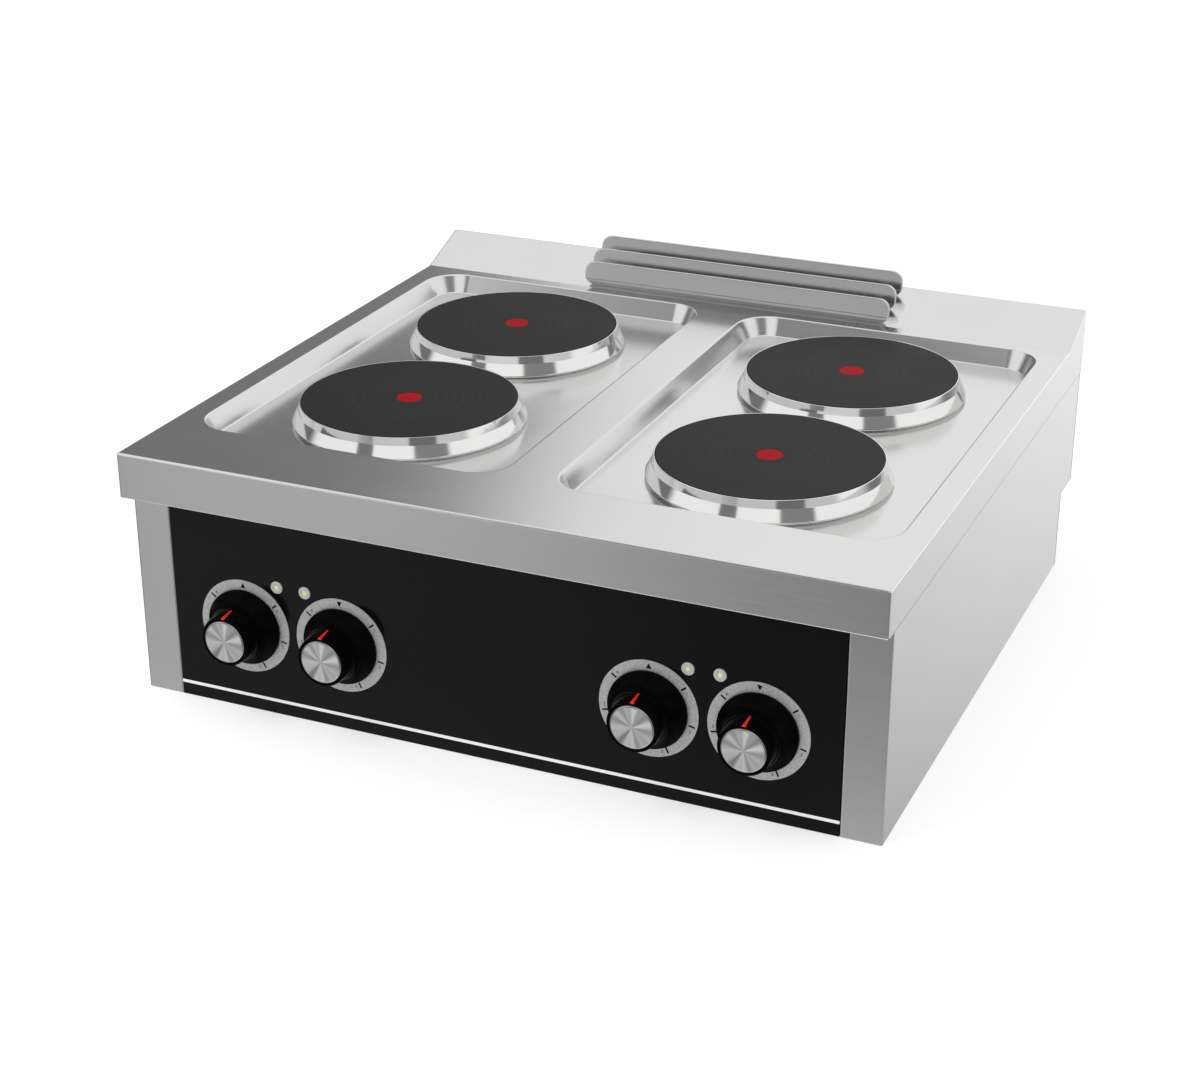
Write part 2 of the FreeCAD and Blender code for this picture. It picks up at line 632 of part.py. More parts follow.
# ---------------------------------------------------------------- louvre
def louvre():
    """Three creased slats with rounded ends, one behind the other up the slope.

    Two rows of short plates, cut to the slats, stand between and behind them.
    """
    slats = []
    names = ("louvre_slat_front", "louvre_slat_middle", "louvre_slat_rear")
    for number, name in enumerate(names):
        foot_y = bend + slat_start + number * slat_pitch
        foot_z = top + slope * (foot_y - bend)
        crease_y = foot_y - slat_tuck
        crease_z = foot_z + slat_lower
        tip_y = crease_y + slat_lean
        tip_z = crease_z + slat_upper
        section = new_body(name + "_section")
        edge = ((foot_y, foot_z), (crease_y, crease_z), (tip_y, tip_z),
                (tip_y + slat_sheet, tip_z), (crease_y + slat_sheet, crease_z),
                (foot_y + slat_sheet, foot_z + slope * slat_sheet))
        pad(polygon(section, "YZ_Plane", edge, -slat_half), 2 * slat_half)
        face = new_body(name + "_outline")
        deep = crease_y + slat_lean + slat_tuck + 10
        pad(rounded_rectangle(face, "XZ_Plane", (-slat_half, slat_half), (foot_z, tip_z),
                              slat_corner, -deep), slat_lean + slat_tuck + 20)
        slat = doc.addObject("Part::Common", name)
        slat.Base = section
        slat.Tool = face
        slats.append(keep(slat, name))
    spacers = []
    first = bend + slat_start + slat_sheet
    last = first + 2 * slat_pitch + spacer_tail
    for side in (-1, 1):
        body = new_body("louvre_spacer")
        edge = ((first, top + slope * (first - bend)), (last, top + slope * (last - bend)),
                (last, top + slope * (last - bend) + spacer_back),
                (first, top + slope * (first - bend) + spacer_front))
        inner = flue_length / 2 + spacer_inset
        start = inner if side > 0 else -(inner + spacer_sheet)
        pad(polygon(body, "YZ_Plane", edge, start), spacer_sheet)
        spacers.append(cut(body, slats))
    keep(group(spacers), "louvre_spacers")


# ---------------------------------------------------------------- hot plates
def hotplate(number, x, y):
    """Cast disc with a raised rim, turned about its own centre, face at height zero."""
    face = plate_radius - plate_chamfer
    points = ((0, -marker_depth), (marker_radius, -marker_depth), (marker_radius, 0), (face, 0),
              (plate_radius, -plate_chamfer), (plate_radius, -plate_edge),
              (plate_core, -plate_edge), (plate_core, -plate_thickness),
              (0, -plate_thickness))
    keep(place(turned("hotplate", points), x, y, plate_top), f"hotplate_{number}")


def spill_rim(number, x, y):
    """Bright ring: it holds the disc on an inner ledge and stands on the pan floor."""
    widest = -(pan_drop - rim_foot_height)
    crease = -rim_crease_drop
    flare = (rim_radius - rim_crease) / (rim_foot_height + rim_crease_drop - pan_drop)
    ledge_r = rim_crease - rim_sheet + flare * (rim_crease_drop - plate_edge)
    ledge_low = ledge_r - flare * rim_sheet
    ledge_edge = plate_core + hole_clearance
    points = ((plate_radius, -rim_lip), (plate_radius + rim_sheet, -rim_lip), (rim_crease, crease),
              (rim_radius, widest), (rim_radius - rim_foot_tuck, -pan_drop),
              (rim_radius - rim_foot_tuck - rim_sheet, -pan_drop),
              (rim_radius - 2 * rim_sheet, widest), (ledge_low, -plate_edge - rim_sheet),
              (ledge_edge, -plate_edge - rim_sheet), (ledge_edge, -plate_edge),
              (ledge_r, -plate_edge), (rim_crease - rim_sheet, crease), (plate_radius, -rim_seat))
    keep(place(turned("spill_rim", points), x, y, plate_top), f"spill_rim_{number}")


def under_cover(number, x, y):
    """Pressed steel cover below the disc, with a hole for the stud."""
    floor = -plate_thickness - cover_depth
    wall = cover_radius - cover_sheet
    stud_hole = stud_radius + 2
    points = ((stud_hole, floor), (cover_radius, floor), (cover_radius, -plate_thickness),
              (wall, -plate_thickness), (wall, floor + cover_sheet),
              (stud_hole, floor + cover_sheet))
    keep(place(turned("under_cover", points), x, y, plate_top), f"under_cover_{number}")


def plate_clamp(number, x, y):
    """Strap that bears on the underside of the pan, pulled up by the plate's stud and nut."""
    under_pan = pan_floor - worktop_sheet
    low = plate_top - plate_thickness - cover_depth - strap_drop
    inner = plate_core + hole_clearance + strap_gap
    outer = inner + strap_sheet
    half = strap_width / 2
    span = (y - half, y + half)
    bar = box((x - outer, x + outer), span, (low - strap_sheet, low))
    pieces = [bar]
    for side in (-1, 1):
        leg = mirrored_span(side, inner, outer)
        foot = mirrored_span(side, inner, outer + strap_foot)
        pieces.append(box((x + leg[0], x + leg[1]), span, (low - strap_sheet, under_pan)))
        pieces.append(box((x + foot[0], x + foot[1]), span, (under_pan - strap_sheet, under_pan)))
    hole = rod(stud_radius + stud_gap, low - strap_sheet - 1, low + 1, x, y, "Z")
    strap = cut(join(pieces), [hole])
    nut_top = low - strap_sheet
    stud = rod(stud_radius, nut_top - nut_height - stud_end, plate_top - plate_thickness, x, y, "Z")
    prism = doc.addObject("Part::Prism", "nut")
    prism.Polygon = 6
    bind(prism, "Circumradius", nut_radius)
    bind(prism, "Height", nut_height)
    place(prism, x, y, nut_top - nut_height)
    nut = cut(prism, [rod(stud_radius, nut_top - nut_height - 1, nut_top + 1, x, y, "Z")])
    keep(group([strap, stud, nut]), f"plate_clamp_{number}")


def plate_terminals():
    """Ceramic blocks under the covers, each with three wire holes."""
    blocks = []
    high = plate_top - plate_thickness - cover_depth
    low = high - terminal_height
    for x, y in plate_places:
        centre = y + terminal_offset
        block = box((x - terminal_length / 2, x + terminal_length / 2),
                    (centre - terminal_width / 2, centre + terminal_width / 2), (low, high))
        wires = [rod(terminal_hole, centre - terminal_width / 2 - 1, centre + terminal_width / 2 + 1,
                     x + step * (terminal_length / 3), low + terminal_height / 2)
                 for step in (-1, 0, 1)]
        blocks.append(cut(block, wires))
    keep(group(blocks), "plate_terminals")


def plate_markers():
    """Thin red discs seated in the centres of the cast discs."""
    discs = [rod(marker_radius, plate_top - marker_depth, plate_top - 0.05, x, y, "Z")
             for x, y in plate_places]
    keep(group(discs), "plate_markers")


# ---------------------------------------------------------------- controls
def control_panel():
    """Flat black panel between the pillars, with a folded top edge."""
    body = new_body("control_panel")
    face = ((-panel_half, 0), (panel_half, 0), (panel_half, panel_top), (-panel_half, panel_top))
    pad(polygon(body, "XZ_Plane", face, -panel_back), panel_sheet)
    shaft_hole = shaft_radius + panel_hole_gap
    holes = [(x, knob_height, shaft_hole) for x in knob_places]
    holes += [(x, knob_height + lamp_rise, barrel_radius) for x in lamp_places]
    pocket(circles(body, "XZ_Plane", holes, -case_front + 1), panel_sheet + 2)
    keep(body, "control_panel")


def panel_trim():
    line = box((-panel_half, panel_half), (case_front - trim_thickness, case_front),
               (trim_height, trim_height + trim_width))
    keep(line, "panel_trim_line")


def dial_ring(number, x):
    """Flat metal ring behind a knob, which carries the scale."""
    edge = dial_radius - dial_bevel
    points = ((dial_bore, 0), (dial_radius, 0), (dial_radius, dial_thickness - dial_bevel),
              (edge, dial_thickness), (dial_bore, dial_thickness))
    ring = turned("dial_ring", points)
    keep(place(ring, x, case_front, knob_height, OUT_OF_PANEL), f"dial_ring_{number}")


def switch_body(number, x):
    """Rotary energy switch behind the panel, with six terminal blades."""
    half = switch_width / 2
    rear = panel_back + switch_depth
    block = box((x - half, x + half), (panel_back, rear), (knob_height - half, knob_height + half))
    bore = rod(shaft_radius + running_gap, panel_back - 1, panel_back + shaft_socket, x, knob_height)
    blades = []
    for step in (-1, 0, 1):
        for rise in (-1, 1):
            across, level = x + step * blade_pitch, knob_height + rise * blade_rise
            blades.append(box((across - blade_sheet / 2, across + blade_sheet / 2),
                              (rear - 1, rear + blade_length),
                              (level - blade_width / 2, level + blade_width / 2)))
    keep(cut(join([block] + blades), [bore]), f"switch_body_{number}")


def shaft_blank(x, radius, low, high, flat_end, flat):
    """A round bar along Y whose front end has a flat on top."""
    bar = rod(radius, low, high, x, knob_height)
    level = knob_height + shaft_radius - flat
    return cut(bar, [box((x - 4, x + 4), (low - 1, flat_end), (level, level + 4))])


def switch_shaft(number, x):
    low = knob_back - shaft_grip
    high = panel_back + shaft_socket - socket_gap
    keep(shaft_blank(x, shaft_radius, low, high, knob_back, shaft_flat), f"switch_shaft_{number}")


def knob(number, x):
    """Moulded bell: a wide skirt that sweeps up into a round grip, with a seat for its cap."""
    seat = cap_radius + 0.1
    long = knob_length
    points = [(0, 0), (skirt_radius - 0.8, 0), (skirt_radius, 0.8), (skirt_radius, skirt_height)]
    shoulder = skirt_radius - 1
    for step in range(SWEEP_STEPS + 1):
        share = step / SWEEP_STEPS
        radius = grip_radius + grip_taper + (shoulder - grip_radius - grip_taper) * (1 - share) ** 2.4
        points.append((radius, skirt_height + 0.6 + (sweep_height - skirt_height) * share))
    points += [(grip_radius, long - 1.5), (grip_radius - 1.2, long), (seat, long),
               (seat, long - cap_seat), (0, long - cap_seat)]
    body = place(turned("knob", points), x, knob_back, knob_height, OUT_OF_PANEL)
    tip = knob_back - shaft_grip - 0.2
    bore = shaft_blank(x, shaft_radius + 0.02, tip, knob_back + 1, knob_back + 2, shaft_flat - 0.02)
    keep(cut(body, [bore]), f"knob_{number}")


def knob_cap(number, x):
    """Spun aluminium disc with a bevelled edge, seated in the front of the knob."""
    points = ((0, 0), (cap_radius, 0), (cap_radius, cap_thickness - 0.9),
              (cap_radius - 1.1, cap_thickness), (0, cap_thickness))
    seat = knob_back - knob_length + cap_seat
    cap = place(turned("knob_cap", points), x, seat, knob_height, OUT_OF_PANEL)
    keep(cap, f"knob_cap_{number}")


knob_back = case_front - dial_thickness - knob_gap


def pilot_lamps():
    """Two nodes of four: bezels with their barrels, and the lenses inside them."""
    height = knob_height + lamp_rise
    bezels = []
    lenses = []
    for x in lamp_places:
        outer = ((lens_radius, -barrel_length), (barrel_radius, -barrel_length), (barrel_radius, 0),
                 (bezel_radius, 0), (bezel_radius, bezel_face - 0.6),
                 (bezel_radius - 0.8, bezel_face), (lens_radius + 0.8, bezel_face),
                 (lens_radius, bezel_face - 0.5))
        bezels.append(place(turned("bezel", outer), x, case_front, height, OUT_OF_PANEL))
        inner = ((0, -barrel_length), (lens_radius, -barrel_length), (lens_radius, bezel_face - 0.7),
                 (lens_radius * 0.6, bezel_face - 0.1), (0, bezel_face))
        lenses.append(place(turned("lens", inner), x, case_front, height, OUT_OF_PANEL))
    keep(group(bezels), "pilot_lamp_bezels")
    keep(group(lenses), "pilot_lamp_lenses")


# ---------------------------------------------------------------- inside and behind
def rails_and_shield():
    """Channel under the strip between the pans, angle behind the panel, and heat shield."""
    half = rail_half
    span = (panel_back + rail_front, rear_inner - rail_back)
    floor = underside - rail_height
    channel = [box((-half, half), span, (floor, floor + rail_sheet))]
    for side in (-1, 1):
        channel.append(box(mirrored_span(side, half - rail_sheet, half), span, (floor, underside)))
    keep(join(channel), "centre_rail")
    across = (-(panel_half - rail_end), panel_half - rail_end)
    upright = box(across, (panel_back, panel_back + rail_sheet),
                  (panel_top - angle_height, panel_top))
    shelf = box(across, (panel_back, panel_back + angle_depth),
                (panel_top - rail_sheet, panel_top))
    keep(join([upright, shelf]), "front_rail")
    edge = case_inside - case_sheet
    plate = box((-edge, edge), (shield_y, shield_y + case_sheet), (case_sheet, shield_height))
    foot = box((-edge, edge), (shield_y, shield_y + return_width), (case_sheet, 2 * case_sheet))
    hole = rod(loom_radius, shield_y - 1, shield_y + return_width + 1, inlet_place, loom_height)
    keep(cut(join([plate, foot]), [hole]), "heat_shield")


def mains_inlet():
    """Terminal block, cable gland with its locknut, and the bonding stud."""
    rear = recess_inner - block_setback
    block = box((inlet_place - block_length / 2, inlet_place + block_length / 2),
                (rear - block_width, rear), (case_sheet, case_sheet + block_height))
    wires = [rod(block_hole, rear - block_width - 1, rear + 1, inlet_place + step * (block_length / 5),
                 case_sheet + block_height / 3) for step in (-2, -1, 0, 1, 2)]
    keep(cut(block, wires), "terminal_block")
    tail = back_sheet + gland_tail
    dome = flange_thickness + gland_neck
    profile = ((gland_bore, -tail), (gland_thread, -tail), (gland_thread, 0), (gland_flange, 0),
               (gland_flange, flange_thickness), (gland_thread + gland_neck, flange_thickness),
               (gland_thread + gland_neck, dome), (gland_flange - 1, dome),
               (gland_flange - 1, gland_reach - dome_bevel), (gland_bore + 3, gland_reach),
               (gland_bore, gland_reach))
    gland = place(turned("gland", profile), inlet_place, recess_face, inlet_height, OUT_OF_BACK)
    nut_face = -back_sheet - locknut_height
    ring = ((gland_thread, nut_face), (gland_flange + 1, nut_face),
            (gland_flange + 1, -back_sheet), (gland_thread, -back_sheet))
    locknut = place(turned("locknut", ring), inlet_place, recess_face, inlet_height, OUT_OF_BACK)
    keep(group([gland, locknut]), "cable_gland")
    washer = earth_radius * 2.4
    nut = earth_radius * 1.8
    nut_end = washer_height + earth_nut
    stud = ((0, -back_sheet - earth_root), (earth_radius, -back_sheet - earth_root),
            (earth_radius, 0), (washer, 0), (washer, washer_height), (nut, washer_height),
            (nut, nut_end), (earth_radius, nut_end), (earth_radius, earth_reach - 1),
            (earth_radius - 0.8, earth_reach), (0, earth_reach))
    keep(place(turned("earth_stud", stud), earth_place, recess_face, earth_height, OUT_OF_BACK),
         "earth_stud")


loom_height = case_sheet + block_height + loom_radius


def wiring_loom():
    """Bundle over the terminal block, forward through the shield and along the switches."""
    trunk_y = shield_y - 20
    block_front = recess_inner - block_setback - block_width
    forward = rod(loom_radius, trunk_y, block_front + block_width / 2, inlet_place, loom_height)
    trunk = doc.addObject("Part::Cylinder", "trunk")
    bind(trunk, "Radius", loom_radius)
    bind(trunk, "Height", 2 * inlet_place)
    place(trunk, -inlet_place, trunk_y, loom_height, Rotation(Vector(0, 1, 0), 90))
    keep(join([forward, trunk]), "wiring_loom")


# ---------------------------------------------------------------- build
worktop()
side_panel(-1, "side_panel_left")
side_panel(1, "side_panel_right")
back_panel()
base_tray()
foot_nuts()
case_screws()
louvre()
control_panel()
panel_trim()
pilot_lamps()
rails_and_shield()
mains_inlet()
wiring_loom()
plate_markers()
plate_terminals()
for number, (x, y) in enumerate(plate_places, 1):
    hotplate(number, x, y)
    spill_rim(number, x, y)
    under_cover(number, x, y)
    plate_clamp(number, x, y)
for number, x in enumerate(knob_places, 1):
    dial_ring(number, x)
    switch_body(number, x)
    switch_shaft(number, x)
    knob(number, x)
    knob_cap(number, x)
doc.recompute()

for item in doc.Objects:
    if "Invalid" in item.State or "Error" in item.State:
        raise RuntimeError(f"{item.Label} ({item.TypeId}) failed: {item.State}")
    base = getattr(item, "BaseFeature", None)
    if base is not None and item.TypeId in ("PartDesign::Pocket", "PartDesign::SubtractiveLoft"):
        if item.Shape.Volume > base.Shape.Volume - 1:
            raise RuntimeError(f"{item.Label} cuts nothing")
os.makedirs("parts", exist_ok=True)
for item in parts:
    if item.Shape.isNull() or not item.Shape.isValid():
        raise RuntimeError(f"{item.Label} has no valid shape")
for item in parts:
    item.Shape.exportStep(f"parts/{item.Label}.step")
print(len(parts), "parts written")
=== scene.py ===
# %% [markdown]
# # Hot plate burner
#
# A table-top electric cooker for a professional kitchen: a folded stainless worktop with two pressed pans,
# four cast-iron hot plates in bright spill rims, a black control panel with four knobs, and a louvre over
# the flue outlet at the back. The frame below brings in every working part at its real place. This lesson
# makes again, with its true bends and edges, whatever the eye rests on, and gives the rest its finish.
# All shapes are worked out in millimetres with numpy and become metres when a mesh is made.

# %% Frame and measures
import json
import math

import bmesh
import bpy
import numpy as np
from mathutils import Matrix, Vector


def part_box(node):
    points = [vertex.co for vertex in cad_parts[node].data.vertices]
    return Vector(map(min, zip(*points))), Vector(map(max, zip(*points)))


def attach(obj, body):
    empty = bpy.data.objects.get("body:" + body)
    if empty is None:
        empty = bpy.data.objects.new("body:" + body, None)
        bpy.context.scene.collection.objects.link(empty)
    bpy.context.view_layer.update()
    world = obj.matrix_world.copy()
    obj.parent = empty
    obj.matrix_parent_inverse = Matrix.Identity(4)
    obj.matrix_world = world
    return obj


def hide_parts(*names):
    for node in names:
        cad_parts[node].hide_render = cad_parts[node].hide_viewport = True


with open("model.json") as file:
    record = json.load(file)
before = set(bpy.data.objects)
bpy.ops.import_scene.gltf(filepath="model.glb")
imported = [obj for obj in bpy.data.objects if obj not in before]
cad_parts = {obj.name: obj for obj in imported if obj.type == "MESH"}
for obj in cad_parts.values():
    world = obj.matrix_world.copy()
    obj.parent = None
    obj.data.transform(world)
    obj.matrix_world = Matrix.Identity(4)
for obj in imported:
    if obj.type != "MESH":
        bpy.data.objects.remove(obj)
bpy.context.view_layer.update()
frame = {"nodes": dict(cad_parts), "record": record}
scene = bpy.context.scene
MM = 0.001
WELD = 0.002 * MM


def span(node):
    """Lowest and highest corner of a carried-over node, in millimetres."""
    low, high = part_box(node)
    return np.array(low) / MM, np.array(high) / MM


def middle(node):
    """Middle of a node's box, in millimetres."""
    return sum(span(node)) / 2


def rear_middle(node):
    """Middle of the rear face of a node's box, in millimetres."""
    low, high = span(node)
    return np.array([(low[0] + high[0]) / 2, high[1], (low[2] + high[2]) / 2])


worktop_low, worktop_high = span("worktop")
panel_low, panel_high = span("control_panel")
print("worktop box, mm:", worktop_low.round(1), worktop_high.round(1))

# %% [markdown]
# ## Three ways to make a surface
#
# Sheet metal is a line, bent in its corners, carried along a path. Plates, rims, knobs and lamps are turned
# on a lathe: a profile carried round an axis. A flat stretch is filled between two outlines. All three give
# a grid of points, so one function turns any number of grids into one welded mesh. Rounding belongs in the
# line itself, because light catches a bend first.


# %% A line with rounded corners
def rounded_line(points, radii, steps=5, ease=0.4, closed=False):
    """A bent line whose corners are arcs.

    An arc touches both runs at radius * tan(turn / 2) from the corner, and equal turns carry the direction
    of the first run into that of the second. One point `ease` before and after it keeps the flats level.
    """
    points = np.asarray(points, float)
    if closed:
        triples = zip(np.roll(points, 1, 0), points, np.roll(points, -1, 0), radii)
    else:
        triples = zip(points, points[1:], points[2:], radii)
    line = [] if closed else [points[:1]]
    for before, corner, after, radius in triples:
        first = (corner - before) / np.linalg.norm(corner - before)
        second = (after - corner) / np.linalg.norm(after - corner)
        turn = math.acos(float(np.clip(first @ second, -1, 1)))
        side = second - (first @ second) * first
        side /= np.linalg.norm(side)
        angle = np.linspace(0, turn, steps + 1)[:, None]
        start = corner - first * radius * math.tan(turn / 2)
        arc = start + radius * (np.sin(angle) * first + (1 - np.cos(angle)) * side)
        line += [start[None] - first * ease, arc, arc[-1:] + second * ease]
    if not closed:
        line.append(points[-1:])
    return np.vstack(line)


# %% A turned grid
def turned(profile, centre, forward=False, columns=96, closed=False):
    """Each (radius, height) of the profile goes once round the axis through centre.

    The axis points up, or out of the control panel if forward is true. The map that goes with it holds
    the turn, from 0 to 1, and the radius in millimetres.
    """
    profile = np.asarray(profile, float)
    if closed:
        profile = np.vstack([profile, profile[:1]])
    angle = np.linspace(0, 2 * np.pi, columns + 1)
    across, upward = profile[:, :1] * np.sin(angle), profile[:, :1] * np.cos(angle)
    along = profile[:, 1:] + 0 * angle
    points = np.stack([across, -along, upward] if forward else [across, upward, along], -1)
    radius_map = np.stack([angle / (2 * np.pi) + 0 * across, profile[:, :1] + 0 * across], -1)
    return points + np.asarray(centre, float), radius_map, None


# %% One mesh from grids
def show(name, mesh):
    """An object of the scene that holds the mesh."""
    piece = bpy.data.objects.new(name, mesh)
    scene.collection.objects.link(piece)
    print(f"{name}: {len(mesh.vertices)} points, {len(mesh.polygons)} faces")
    return piece


def build(name, grids, facing=None, sharp=32, wall=0.0):
    """One object from grids of points in millimetres, each bare or with its map and its kept cells.

    Four neighbours make a face. Points that coincide are welded, the faces are turned to one side, which is
    outwards on a closed shape and along `facing` on an open one, and `wall` thickens a sheet inwards. Where
    faces meet at more than `sharp` degrees the edge stays crisp.
    """
    corners, maps, faces, start = [], [], [], 0
    for grid in grids:
        points, chart, kept = grid if isinstance(grid, tuple) else (grid, None, None)
        rows, columns = points.shape[:2]
        number = np.arange(rows * columns).reshape(rows, columns) + start
        cells = np.stack([number[:-1, :-1], number[:-1, 1:], number[1:, 1:], number[1:, :-1]], -1)
        faces.append(cells.reshape(-1, 4) if kept is None else cells[kept])
        corners.append(points.reshape(-1, 3))
        maps.append(np.zeros((rows * columns, 2)) if chart is None else chart.reshape(-1, 2))
        start += rows * columns
    faces = np.concatenate(faces)
    mesh = bpy.data.meshes.new(name)
    mesh.from_pydata((np.concatenate(corners) * MM).tolist(), [], faces.tolist())
    layer = mesh.uv_layers.new(name="turn_and_radius")
    layer.uv.foreach_set("vector", np.concatenate(maps)[faces.ravel()].astype(np.float32).ravel())
    work = bmesh.new()
    work.from_mesh(mesh)
    bmesh.ops.remove_doubles(work, verts=work.verts, dist=WELD)
    bmesh.ops.recalc_face_normals(work, faces=work.faces)
    if facing is not None:
        lean = sum(np.dot(face.normal, facing) * face.calc_area() for face in work.faces)
        if lean < 0:
            bmesh.ops.reverse_faces(work, faces=work.faces)
    work.to_mesh(mesh)
    work.free()
    mesh.shade_smooth()
    mesh.set_sharp_from_angle(angle=math.radians(sharp))
    piece = show(name, mesh)
    if wall:
        solid = piece.modifiers.new("wall", "SOLIDIFY")
        solid.thickness, solid.offset, solid.use_even_offset = wall * MM, -1, True
    piece.modifiers.new("level_flats", "WEIGHTED_NORMAL").keep_sharp = True
    return piece


def fit(piece, body, slot, finish, *nodes):
    """The piece rides on a body, takes a finish, and stands for the nodes named."""
    piece.data.materials.append(finish)
    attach(piece, body)
    if nodes:
        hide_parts(*nodes)


# %% [markdown]
# ## Writing a finish
#
# A finish is a small formula. `Signal` wraps one socket, so that sums and products of signals become Math
# nodes, and `Finish.node` adds any other node from its type, settings and inputs. What changes over a
# surface goes only to colour, roughness, emission colour or bump.


# %% Signals
class Signal:
    """One output socket. Arithmetic on signals and numbers adds Math nodes to the same finish."""

    def __init__(self, finish, socket):
        self.finish, self.socket = finish, socket

    def math(self, operation, *others, clamp=False):
        settings = {"operation": operation, "use_clamp": clamp}
        return self.finish.node("ShaderNodeMath", settings, dict(enumerate((self, *others))))

    def __add__(self, other):
        return self.math("ADD", other)

    def __sub__(self, other):
        return self.math("SUBTRACT", other)

    def __mul__(self, other):
        return self.math("MULTIPLY", other)

    def __neg__(self):
        return self.math("MULTIPLY", -1.0)

    def __rsub__(self, other):
        return -self + other

    __radd__, __rmul__ = __add__, __mul__

    def sine(self):
        return self.math("SINE")

    def size(self):
        return self.math("ABSOLUTE")

    def step(self, low, high):
        """0 below low, 1 above high, smooth between; low above high turns it round."""
        settings = {"interpolation_type": "SMOOTHSTEP"}
        if low > high:
            return 1 - self.step(high, low)
        return self.finish.node("ShaderNodeMapRange", settings, {0: self, 1: low, 2: high})


# %% Finishes
class Finish:
    """A material, or the sky, as one node tree."""

    def __init__(self, name, world=False):
        store = bpy.data.worlds if world else bpy.data.materials
        self.block = store.new(name)
        self.block.use_nodes = True
        self.tree = self.block.node_tree
        kind = "ShaderNodeBackground" if world else "ShaderNodeBsdfPrincipled"
        self.shader = next(n for n in self.tree.nodes if n.bl_idname == kind)
        print("finish:", name)

    def feed(self, socket, value):
        """Links a signal to a socket, or sets a plain value on it."""
        if isinstance(value, Signal):
            self.tree.links.new(value.socket, socket)
        else:
            socket.default_value = value

    def node(self, kind, settings=None, inputs=None, output=0):
        """Adds a node, sets it, feeds its sockets by name or number, and returns one output."""
        made = self.tree.nodes.new(kind)
        for key, value in (settings or {}).items():
            setattr(made, key, value)
        for key, value in (inputs or {}).items():
            self.feed(made.inputs[key], value)
        return Signal(self, made.outputs[output])

    def set(self, **values):
        """Feeds or sets sockets of the shader and returns the block; an underscore stands for a space."""
        for key, value in values.items():
            self.feed(self.shader.inputs[key.replace("_", " ")], value)
        return self.block

    def place(self, scale=(1, 1, 1)):
        """Object coordinates in metres, times scale."""
        at = self.node("ShaderNodeTexCoord", output="Object")
        return self.node("ShaderNodeMapping", {}, {"Vector": at, "Scale": scale})

    def parts(self, vector):
        """The three numbers of a vector signal."""
        outputs = self.node("ShaderNodeSeparateXYZ", {}, {0: vector}).socket.node.outputs
        return [Signal(self, output) for output in outputs]

    def turn_and_radius(self):
        """The two numbers in the map of a turned grid."""
        return self.parts(self.node("ShaderNodeUVMap", {"uv_map": "turn_and_radius"}))[:2]

    def noise(self, vector, scale, detail=3.0, rough=0.55):
        inputs = {"Vector": vector, "Scale": scale, "Detail": detail, "Roughness": rough}
        return self.node("ShaderNodeTexNoise", {}, inputs)

    def cloud(self, scale, detail=3.0, rough=0.55, stretch=(1, 1, 1)):
        """Noise from 0 to 1 over the object, with `scale` patches to a metre, times `stretch`."""
        return self.noise(self.place(stretch), scale, detail, rough)

    def rings(self, radius, scale, detail, rough=0.55):
        """Noise that changes with the radius alone, with `scale` rings to a millimetre."""
        return self.noise(self.node("ShaderNodeCombineXYZ", {}, {0: radius}), scale, detail, rough)

    def mix(self, share, first, second):
        """Colour between first and second."""
        inputs = {0: share, 6: first, 7: second}
        return self.node("ShaderNodeMix", {"data_type": "RGBA"}, inputs, 2)

    def bump(self, height, depth):
        """A relief as deep as `depth` metres where height goes from 0 to 1."""
        inputs = {"Height": height, "Distance": depth, "Strength": 1.0}
        return self.node("ShaderNodeBump", {}, inputs)


def grey(level, tint=(1.0, 1.0, 1.0)):
    """Opaque colour of one linear level, tinted."""
    return (*(level * part for part in tint), 1.0)


# %% [markdown]
# ## Stainless steels
#
# The worktop and the sides are brushed along their length: a sheet passes once under the belt, so its
# scratches are long, fine and parallel, and it mirrors broad soft shapes. Stretching a noise a hundred
# times along one axis gives those scratches. On a face that looks sideways they run front to back instead.
# The rims are polished, so their finish keeps only a few wipe marks and much less roughness.


# %% Brushed and polished stainless
def brushed_stainless():
    """Colour and roughness follow two stretched noises; the bump is about a micrometre deep."""
    finish = Finish("brushed_stainless")
    normal = finish.node("ShaderNodeNewGeometry", output="Normal")
    sideways = finish.parts(normal)[0].size().step(0.55, 0.75)
    across = finish.cloud(1.0, 4.0, stretch=(14, 1500, 1500))
    lengthways = finish.cloud(1.0, 4.0, stretch=(1500, 14, 1500))
    scratch = across + (lengthways - across) * sideways
    cloud = finish.cloud(5.0, 2.0)
    wipe = finish.cloud(1.0, 3.0, stretch=(3, 11, 11))
    colour = finish.mix(scratch * 0.6 + cloud * 0.4, grey(0.635), grey(0.735, (1, 0.997, 0.99)))
    roughness = 0.165 + 0.07 * scratch + 0.06 * (wipe - 0.5)
    return finish.set(Base_Color=colour, Metallic=1.0, Roughness=roughness,
                      Normal=finish.bump(scratch, 1.4e-6))


def polished_stainless():
    """A near mirror with faint spinning marks and a few wipe marks."""
    finish = Finish("polished_stainless")
    lathe = finish.rings(finish.turn_and_radius()[1], 6.0, 2.0)
    wipe = finish.cloud(26.0, 3.0)
    colour = finish.mix(wipe, grey(0.72), grey(0.80, (1, 0.997, 0.985)))
    return finish.set(Base_Color=colour, Metallic=1.0, Roughness=0.05 + 0.05 * wipe + 0.02 * lathe,
                      Normal=finish.bump(lathe, 1.5e-6))


stainless, polished = brushed_stainless(), polished_stainless()

